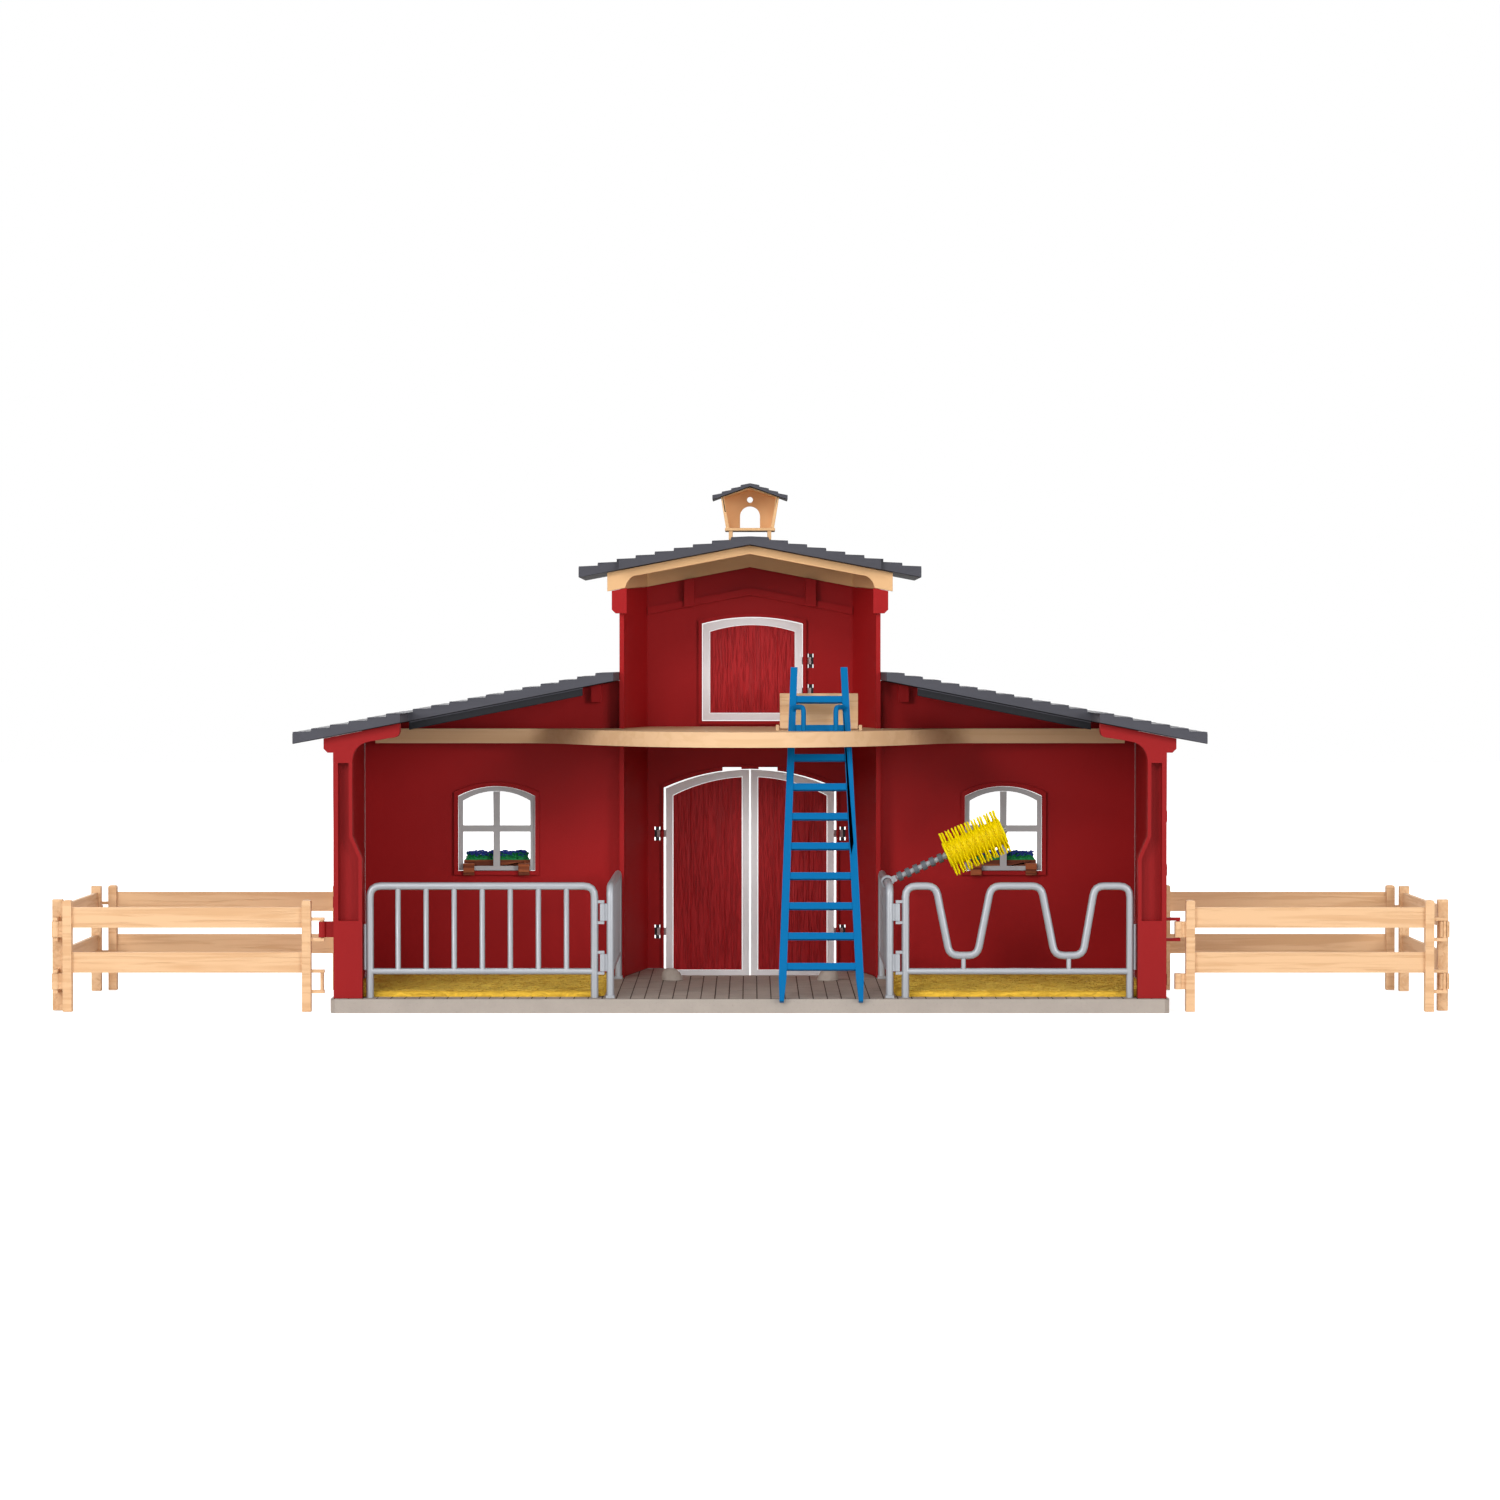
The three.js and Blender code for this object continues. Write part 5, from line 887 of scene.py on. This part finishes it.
def shingle(y0, y1, start, along, up, thick):
    """The points and faces of one shingle between two places across the slope."""
    near = start + along * SHINGLE_START_SHARE
    far = start + along * SHINGLE_END_SHARE
    verts = []
    for base, lift in ((near, 0), (near, thick), (far, thick * SHINGLE_THIN_SHARE), (far, 0)):
        point = base + up * lift
        verts += [(point.x, y0, point.z), (point.x, y1, point.z)]
    faces = [(0, 1, 3, 2), (2, 3, 5, 4), (4, 5, 7, 6), (6, 7, 1, 0), (6, 4, 2, 0), (1, 3, 5, 7)]
    return verts, faces


def shingles(name, courses, low_y, high_y):
    """Shingles over slopes. A course is its eave-side and ridge-side points, x and z, on the tiles' top."""
    verts, faces = [], []
    for row, ((x0, z0), (x1, z1)) in enumerate(courses):
        along = Vector((x1 - x0, 0, z1 - z0))
        up = Vector((-along.z, 0, along.x)).normalized()
        if up.z < 0:
            up = -up
        y = low_y - (SHINGLE_WIDE * 0.5 if row % 2 else 0)
        while y < high_y - WELD_REACH:
            wide = SHINGLE_WIDE * random.uniform(*SHINGLE_WIDTH_SHARES)
            a = max(y + SHINGLE_GAP / 2, low_y)
            b = min(y + wide - SHINGLE_GAP / 2, high_y)
            y += wide
            if high_y - y < SHINGLE_WIDE * LAST_SHARE and b < high_y:
                b = high_y
                y = high_y
            if b - a < SHINGLE_LEAST:
                continue
            thick = SHINGLE_THICK * random.uniform(*SHINGLE_THICK_SHARES)
            start = len(verts)
            points, quads = shingle(a, b, Vector((x0, 0, z0)), along, up, thick)
            verts += points
            faces += [tuple(start + k for k in quad) for quad in quads]
    obj = built(name, verts, faces, "slate", "barn", None)
    bm = bmesh.new()
    bm.from_mesh(obj.data)
    bmesh.ops.recalc_face_normals(bm, faces=bm.faces)
    bm.to_mesh(obj.data)
    bm.free()


def courses(eave, inner, count, slope, height_at):
    """The solid roof's courses, each from its eave side to its ridge side, as (x, z) points."""
    lift = ROOF_PLATE / math.cos(slope)
    rise = COURSE_STEP / math.cos(slope)
    lines = []
    for i in range(count):
        x0 = eave - (eave - inner) * i / count
        x1 = eave - (eave - inner) * (i + 1) / count
        lines.append(((x0, height_at(x0) + lift + rise), (x1, height_at(x1) + lift)))
    return lines


def mirrored(lines, side):
    return [tuple((side * x, z) for x, z in line) for line in lines]


def roofs():
    eave, inner = BODY_HALF + WING_OVERHANG, TOWER_HALF + WING_ROOF_GAP
    lines = courses(eave, inner, WING_COURSES, WING_SLOPE, lambda x: WING_EAVE + (BODY_HALF - x) * WING_RISE)
    outer = [line for line in lines if (line[0][0] + line[1][0]) / 2 > WING_OUT_BEYOND]
    for side, word in SIDES:
        shingles(f"{word}_roof_tiles_out", mirrored(outer, side), WING_FRONT_OUT, WING_BACK)
        shingles(f"{word}_roof_tiles_in", mirrored(lines[len(outer) :], side), WING_FRONT_IN, WING_BACK)
    eave = TOWER_HALF + TOWER_OVERHANG
    lines = courses(eave, 0, TOWER_COURSES, TOWER_SLOPE, lambda x: TOWER_EAVE - x * TOWER_RISE)
    for side, word in SIDES:
        low, high = lines[:TOWER_EAVE_COURSES], lines[TOWER_EAVE_COURSES:]
        shingles(f"tower_tiles_{word}_eave", mirrored(low, side), TOWER_FRONT_EAVE, TOWER_BACK)
        shingles(f"tower_tiles_{word}", mirrored(high, side), TOWER_FRONT, TOWER_BACK)


roofs()


# The roller brush: a grooved core and rings of slightly splayed bristles
ROLLER_START = 41.9 * MM
ROLLER_LENGTH = 40 * MM
ROLLER_CORE = 8.8 * MM
ROLLER_BORE = 2.0 * MM
ROLLER_RIM = 0.6 * MM
ROLLER_REACH = 15 * MM
ROLLER_SIDES = 48
GROOVE_SHARES = ((0.1, 0.5 * MM), (0.2, 0.05 * MM), (0.5, 0.0), (0.8, 0.05 * MM), (0.9, 0.5 * MM))
BRISTLE_RINGS = 9
BRISTLES_ROUND = 46
BRISTLE_ROW_OFFSET = 0.72 * MM
BRISTLE_SPLAY = 0.25 * MM
BRISTLE_STRAY = 0.3 * MM
BRISTLE_SHORTER = (0.05 * MM, 0.8 * MM)
BRISTLE_TWIST = 0.02
BRISTLE_ROW_TURN = 0.25
BRISTLE_BEND_SHARE = 0.4
BRISTLE_ROOT = 0.5 * MM
BRISTLE_END_ROOM = 0.4 * MM
BRISTLE_RADII = (0.52 * MM, 0.46 * MM, 0.3 * MM)
SMOOTH_ROLLER = math.radians(40)


def on_roller(s, radius, angle):
    """A place at a distance along the roller, and round its axis."""
    along = Vector((math.cos(BRUSH_TILT), 0, math.sin(BRUSH_TILT)))
    across = Vector((0, 1, 0))
    spoke = across * math.cos(angle) + along.cross(across) * math.sin(angle)
    return BRUSH_PLACE + along * (ROLLER_START + s) + spoke * radius


def roller():
    pitch = ROLLER_LENGTH / BRISTLE_RINGS
    profile = [(0, ROLLER_BORE), (0, ROLLER_CORE - ROLLER_RIM)]
    for ring in range(BRISTLE_RINGS):
        for share, drop in GROOVE_SHARES:
            profile.append((ring * pitch + share * pitch, ROLLER_CORE - drop))
    profile += [(ROLLER_LENGTH, ROLLER_CORE - ROLLER_RIM), (ROLLER_LENGTH, ROLLER_BORE)]
    verts = [on_roller(s, r, math.tau * k / ROLLER_SIDES) for s, r in profile for k in range(ROLLER_SIDES)]
    faces = []
    for i in range(len(profile)):
        following = (i + 1) % len(profile)
        faces += [turned(face) for face in band(i * ROLLER_SIDES, following * ROLLER_SIDES, ROLLER_SIDES)]
    core = built("roller_core", verts, faces, "yellow", "brush_roller", SMOOTH_ROLLER)
    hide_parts("brush_roller")

    bristles = Strands()
    for ring in range(BRISTLE_RINGS):
        for row in (-1, 1):
            for k in range(BRISTLES_ROUND):
                angle = math.tau * (k + row * BRISTLE_ROW_TURN) / BRISTLES_ROUND
                s = (ring + 0.5) * pitch + row * BRISTLE_ROW_OFFSET
                splay = row * BRISTLE_SPLAY + random.gauss(0, BRISTLE_STRAY)
                twist = angle + random.gauss(0, BRISTLE_TWIST)
                reach = ROLLER_REACH - random.uniform(*BRISTLE_SHORTER)
                s_end = min(max(s + splay, BRISTLE_END_ROOM), ROLLER_LENGTH - BRISTLE_END_ROOM)
                s_middle = s + (s_end - s) * BRISTLE_BEND_SHARE
                points = [
                    on_roller(s, ROLLER_CORE - BRISTLE_ROOT, angle),
                    on_roller(s_middle, (ROLLER_CORE + reach) / 2, (angle + twist) / 2),
                    on_roller(s_end, reach, twist),
                ]
                bristles.add(points, BRISTLE_RADII, sides=5)
    verts, faces = bristles.verts, bristles.faces
    hair = built("roller_bristles", verts, faces, "yellow", "brush_roller", SMOOTH_CARVED)
    hair.data.shade_smooth()


roller()


# Window boxes: a lumpy green bed with leaves, and clusters of small blossoms on it
BED_OUT = 1.5 * MM
BED_TALL = 6.6 * MM
BED_FOOT = 0.2 * MM
BED_ACROSS = 64
BED_DEEP = 10
BED_EDGE_STEPS = (3, 2)
BED_EDGE_SHARE = 0.55
BED_LUMP = 0.9 * MM
BED_LUMP_SCALE = 420
BED_LAYER = 5
HANG_REACH = 1.3 * MM
LEAVES = 760
LEAF_INSET = 1.2 * MM
LEAF_PROUD = 0.2 * MM
LEAF_DROP = 5 * MM
LEAF_LEVELS = (-1.2 * MM, 1.6 * MM)
LEAF_RISES = (0.1, 1.1)
LEAF_LENGTHS = (1.3 * MM, 2.3 * MM)
LEAF_WIDE_SHARE = 0.42
LEAF_ROOT_SHARE = 0.4
LEAF_MIDDLE_SHARE = 0.55
LEAF_DROOP_SHARE = 0.12
LEAF_RAISED = 0.2 * MM
LEAF_FOLD = 0.18 * MM
LEAF_UNDER = 0.5 * MM
PLANT_INSET = 0.1 * MM
PLANT_PROUD = 0.4 * MM
BLOSSOMS = 260
BLOSSOM_INSET = 2 * MM
BLOSSOM_ROW = 0.3 * MM
BLOSSOM_STRAY = 0.8 * MM
BLOSSOM_DROP = 3 * MM
BLOSSOM_ROOT = 0.3 * MM
BLOSSOM_LEVELS = (0.4 * MM, 3.6 * MM)
BLOSSOM_SIZES = (1.0 * MM, 1.45 * MM)
BLOSSOM_LEANS = (0.5, 0.7)
CREST_SCALES = (260, 1.7)
CREST_LAYER = 2
CREST_EVEN_SHARE = 0.75
PETALS = 5
PETAL_WIDE_SHARE = 0.42
PETAL_SHOULDER_SHARES = (0.6, 0.28)
PETAL_TIP_SHARES = (1, 0.2)
PETAL_OVER_SHARES = (0.55, 0.5)
PETAL_UNDER_SHARES = (0.5, -0.3)
NO_BLOSSOM = Vector((0.3, 0.9, 0.2))


def hang(y, low, high):
    """How far a place lies towards the box's front or back edge, from 0 to 1."""
    return max(0, 1 - min(y - low[1], high[1] - y) / HANG_REACH)


def leaf_bed(side, word, low, high):
    """The lumpy bed: a grid of points on top, and its rim let down to a flat foot."""
    verts = []
    steps_x, steps_y = BED_EDGE_STEPS
    for i in range(BED_ACROSS + 1):
        for k in range(BED_DEEP + 1):
            x = low[0] + (high[0] - low[0]) * i / BED_ACROSS
            y = low[1] + (high[1] - low[1]) * k / BED_DEEP
            edge = min(i, BED_ACROSS - i, steps_x) / steps_x * min(k, BED_DEEP - k, steps_y) / steps_y
            lump = wavy(x * BED_LUMP_SCALE, y * BED_LUMP_SCALE, BED_LAYER * side) * BED_LUMP * edge
            share = BED_EDGE_SHARE + (1 - BED_EDGE_SHARE) * edge
            verts.append((x, y, low[2] + BED_TALL * share + lump))
    wide = BED_DEEP + 1
    faces = []
    for i in range(BED_ACROSS):
        for k in range(BED_DEEP):
            a = i * wide + k
            faces.append((a, a + wide, a + wide + 1, a + 1))
    rim = [i * wide for i in range(BED_ACROSS + 1)]
    rim += [BED_ACROSS * wide + k for k in range(1, wide)]
    rim += [i * wide + BED_DEEP for i in reversed(range(BED_ACROSS))]
    rim += [k for k in reversed(range(1, BED_DEEP))]
    start = len(verts)
    verts += [(verts[i][0], verts[i][1], low[2] + BED_FOOT) for i in rim]
    for n in range(len(rim)):
        m = (n + 1) % len(rim)
        faces.append((rim[m], rim[n], start + n, start + m))
    faces.append(turned(disc(start, len(rim))))
    body = built(f"{word}_leaf_bed", verts, faces, "leaf", "barn", SMOOTH_SOFT)
    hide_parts(f"{word}_foliage")


def folded(outline, over, under):
    """A thin leaf or petal: four points round it, and one over and one under its middle."""
    faces = []
    for a, b in ((0, 1), (1, 2), (2, 3), (3, 0)):
        faces += [(a, b, 4), (b, a, 5)]
    return [*outline, over, under], faces


def leaf(low, high):
    x = random.uniform(low[0] + LEAF_INSET, high[0] - LEAF_INSET)
    y = random.uniform(low[1] - LEAF_PROUD, high[1] + LEAF_PROUD)
    lifted = random.uniform(*LEAF_LEVELS)
    z = low[2] + BED_TALL + lifted - random.random() * hang(y, low, high) * LEAF_DROP
    heading = random.uniform(0, math.tau)
    rise = random.uniform(*LEAF_RISES)
    length = random.uniform(*LEAF_LENGTHS)
    ahead = Vector((math.cos(heading) * math.cos(rise), math.sin(heading) * math.cos(rise), math.sin(rise)))
    sideways = Vector((-math.sin(heading), math.cos(heading), 0))
    normal = ahead.cross(sideways)
    half = sideways * length * LEAF_WIDE_SHARE
    root = Vector((x, y, z)) - ahead * length * LEAF_ROOT_SHARE
    middle = root + ahead * length * LEAF_MIDDLE_SHARE
    tip = root + ahead * length - normal * length * LEAF_DROOP_SHARE
    raised = middle + normal * LEAF_RAISED
    outline = (root, raised + half, tip, raised - half)
    return folded(outline, middle - normal * LEAF_FOLD, middle - normal * LEAF_UNDER)


def blossom(n, side, low, high):
    """A blossom's petals, each like a small leaf."""
    span = high[0] - low[0] - 2 * BLOSSOM_INSET
    x = low[0] + BLOSSOM_INSET + (n + 0.5) / BLOSSOMS * span + random.uniform(-1, 1) * BLOSSOM_STRAY
    y = random.uniform(low[1] + BLOSSOM_ROW, high[1] - BLOSSOM_ROW)
    scale_x, scale_side = CREST_SCALES
    crest = CREST_EVEN_SHARE + (1 - CREST_EVEN_SHARE) * wavy(x * scale_x, scale_side * side, CREST_LAYER)
    lifted = random.uniform(*BLOSSOM_LEVELS) * crest
    z = low[2] + BED_TALL + lifted - random.random() * hang(y, low, high) * BLOSSOM_DROP
    lean_x, lean_y = BLOSSOM_LEANS
    lean = Vector((random.gauss(0, lean_x), random.gauss(0, lean_y), 1)).normalized()
    first = lean.cross(NO_BLOSSOM).normalized()
    second = lean.cross(first)
    size = random.uniform(*BLOSSOM_SIZES)
    middle = Vector((x, y, z))
    spin = random.uniform(0, math.tau)
    petals = []
    for petal in range(PETALS):
        angle = spin + math.tau * petal / PETALS
        out = first * math.cos(angle) + second * math.sin(angle)
        half = (first * -math.sin(angle) + second * math.cos(angle)) * size * PETAL_WIDE_SHARE
        shoulder, tip, over, under = (
            middle + (out * ahead + lean * up) * size
            for ahead, up in (PETAL_SHOULDER_SHARES, PETAL_TIP_SHARES, PETAL_OVER_SHARES, PETAL_UNDER_SHARES)
        )
        outline = (middle - lean * BLOSSOM_ROOT, shoulder + half, tip, shoulder - half)
        petals.append(folded(outline, over, under))
    return petals


def planted(name, plants, low, high, material, smooth):
    """One piece of all the leaves or petals, kept within the box's outline."""
    verts, faces = [], []
    for points, around in plants:
        start = len(verts)
        faces += [tuple(start + k for k in face) for face in around]
        for point in points:
            x = min(max(point.x, low[0] + PLANT_INSET), high[0] - PLANT_INSET)
            y = min(max(point.y, low[1] - PLANT_PROUD), high[1] + PLANT_PROUD)
            verts.append((x, y, point.z))
    return built(name, verts, faces, material, "barn", smooth)


def window_box(side, word):
    low, high = (list(corner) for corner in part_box(f"{word}_foliage"))
    low[0] -= BED_OUT
    high[0] += BED_OUT
    leaf_bed(side, word, low, high)
    leaves = [leaf(low, high) for _ in range(LEAVES)]
    planted(f"{word}_leaves", leaves, low, high, "leaf", None)
    petals = [petal for n in range(BLOSSOMS) for petal in blossom(n, side, low, high)]
    flowers = planted(f"{word}_blossoms", petals, low, high, "bloom", SMOOTH_CARVED)
    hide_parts(f"{word}_flowers")


for side, word in SIDES:
    window_box(side, word)


# The camera, the lamps and the floor. The picture's own sizes are in its pixels, the rest in metres
PHOTO_SIZE = 1500
PHOTO_HORIZON = 660
PHOTO_FOCAL = 3952
SENSOR = 36
CAMERA_PLACE = (0, -2.580, 0.223)
LAMP_AIM = Vector((0, 0, 0.15))
FLOOR_HALF = 6
FLOOR_GLOW = 0.7
SOFT_LIGHT = 0.34
WHITE = "ffffff"
# Each lamp's name, place, size in metres and power in watts
LAMPS = (
    ("front_lamp", (0.1, -3.2, 0.4), 2.0, 8),
    ("left_lamp", (-2.0, -2.3, 0.9), 1.0, 40),
    ("right_lamp", (2.0, -2.3, 0.8), 1.0, 38),
    ("crisp_lamp", (-0.8, -2.6, 2.0), 0.7, 22),
    ("back_lamp", (-0.4, 2.8, 1.8), 2.4, 58),
)
scene = bpy.context.scene


def view():
    """The camera at the photo's angle, level with its horizon."""
    data = bpy.data.cameras.new("camera")
    camera = bpy.data.objects.new("camera", data)
    scene.collection.objects.link(camera)
    camera.location = CAMERA_PLACE
    tilt = math.atan((PHOTO_SIZE / 2 - PHOTO_HORIZON) / PHOTO_FOCAL)
    camera.rotation_euler = (math.pi / 2 - tilt, 0, 0)
    data.sensor_width = SENSOR
    data.lens = PHOTO_FOCAL * SENSOR / PHOTO_SIZE
    scene.camera = camera
    scene.view_settings.view_transform = "Standard"


def lamp(name, place, size, power):
    """A square lamp aimed at the barn's middle."""
    light = bpy.data.lights.new(name, "AREA")
    light.size = size
    light.energy = power
    obj = bpy.data.objects.new(name, light)
    obj.location = place
    obj.rotation_euler = (LAMP_AIM - Vector(place)).to_track_quat("-Z", "Y").to_euler()
    scene.collection.objects.link(obj)


def backdrop():
    """A world that lights softly, and looks white itself and in gloss and glass."""
    world = bpy.data.worlds.new("studio")
    scene.world = world
    world.use_nodes = True
    tree = world.node_tree
    tree.nodes.clear()
    path = tree.nodes.new("ShaderNodeLightPath")
    seen = path.outputs["Is Camera Ray"]
    for ray in ("Is Glossy Ray", "Is Transmission Ray"):
        either = tree.nodes.new("ShaderNodeMath")
        either.operation = "MAXIMUM"
        tree.links.new(seen, either.inputs[0])
        tree.links.new(path.outputs[ray], either.inputs[1])
        seen = either.outputs[0]
    mix = tree.nodes.new("ShaderNodeMixShader")
    tree.links.new(seen, mix.inputs[0])
    for socket, strength in ((1, SOFT_LIGHT), (2, 1.0)):
        light = tree.nodes.new("ShaderNodeBackground")
        light.inputs["Color"].default_value = colour(WHITE)
        light.inputs["Strength"].default_value = strength
        tree.links.new(light.outputs[0], mix.inputs[socket])
    out = tree.nodes.new("ShaderNodeOutputWorld")
    tree.links.new(mix.outputs[0], out.inputs["Surface"])


def ground():
    """A plain pale floor that keeps the barn's shadow."""
    mesh = bpy.data.meshes.new("floor")
    corners = [(x * FLOOR_HALF, y * FLOOR_HALF, 0) for x, y in ((-1, -1), (1, -1), (1, 1), (-1, 1))]
    mesh.from_pydata(corners, [], [(0, 1, 2, 3)])
    floor = bpy.data.objects.new("floor", mesh)
    scene.collection.objects.link(floor)
    s = Shader("studio_floor")
    grain = s.noise(s.plain, scale=3, detail=2)
    seen = s.node("LightPath").outputs["Is Camera Ray"]
    glow = s.math("MULTIPLY", seen, FLOOR_GLOW)
    tone = s.toned(grain, WHITE, low=0.84, high=0.88)
    s.finish(Base=tone, Roughness=0.9, **{"Emission Color": WHITE, "Emission Strength": glow})
    floor.data.materials.append(s.material)


view()
for settings in LAMPS:
    lamp(*settings)
backdrop()
ground()
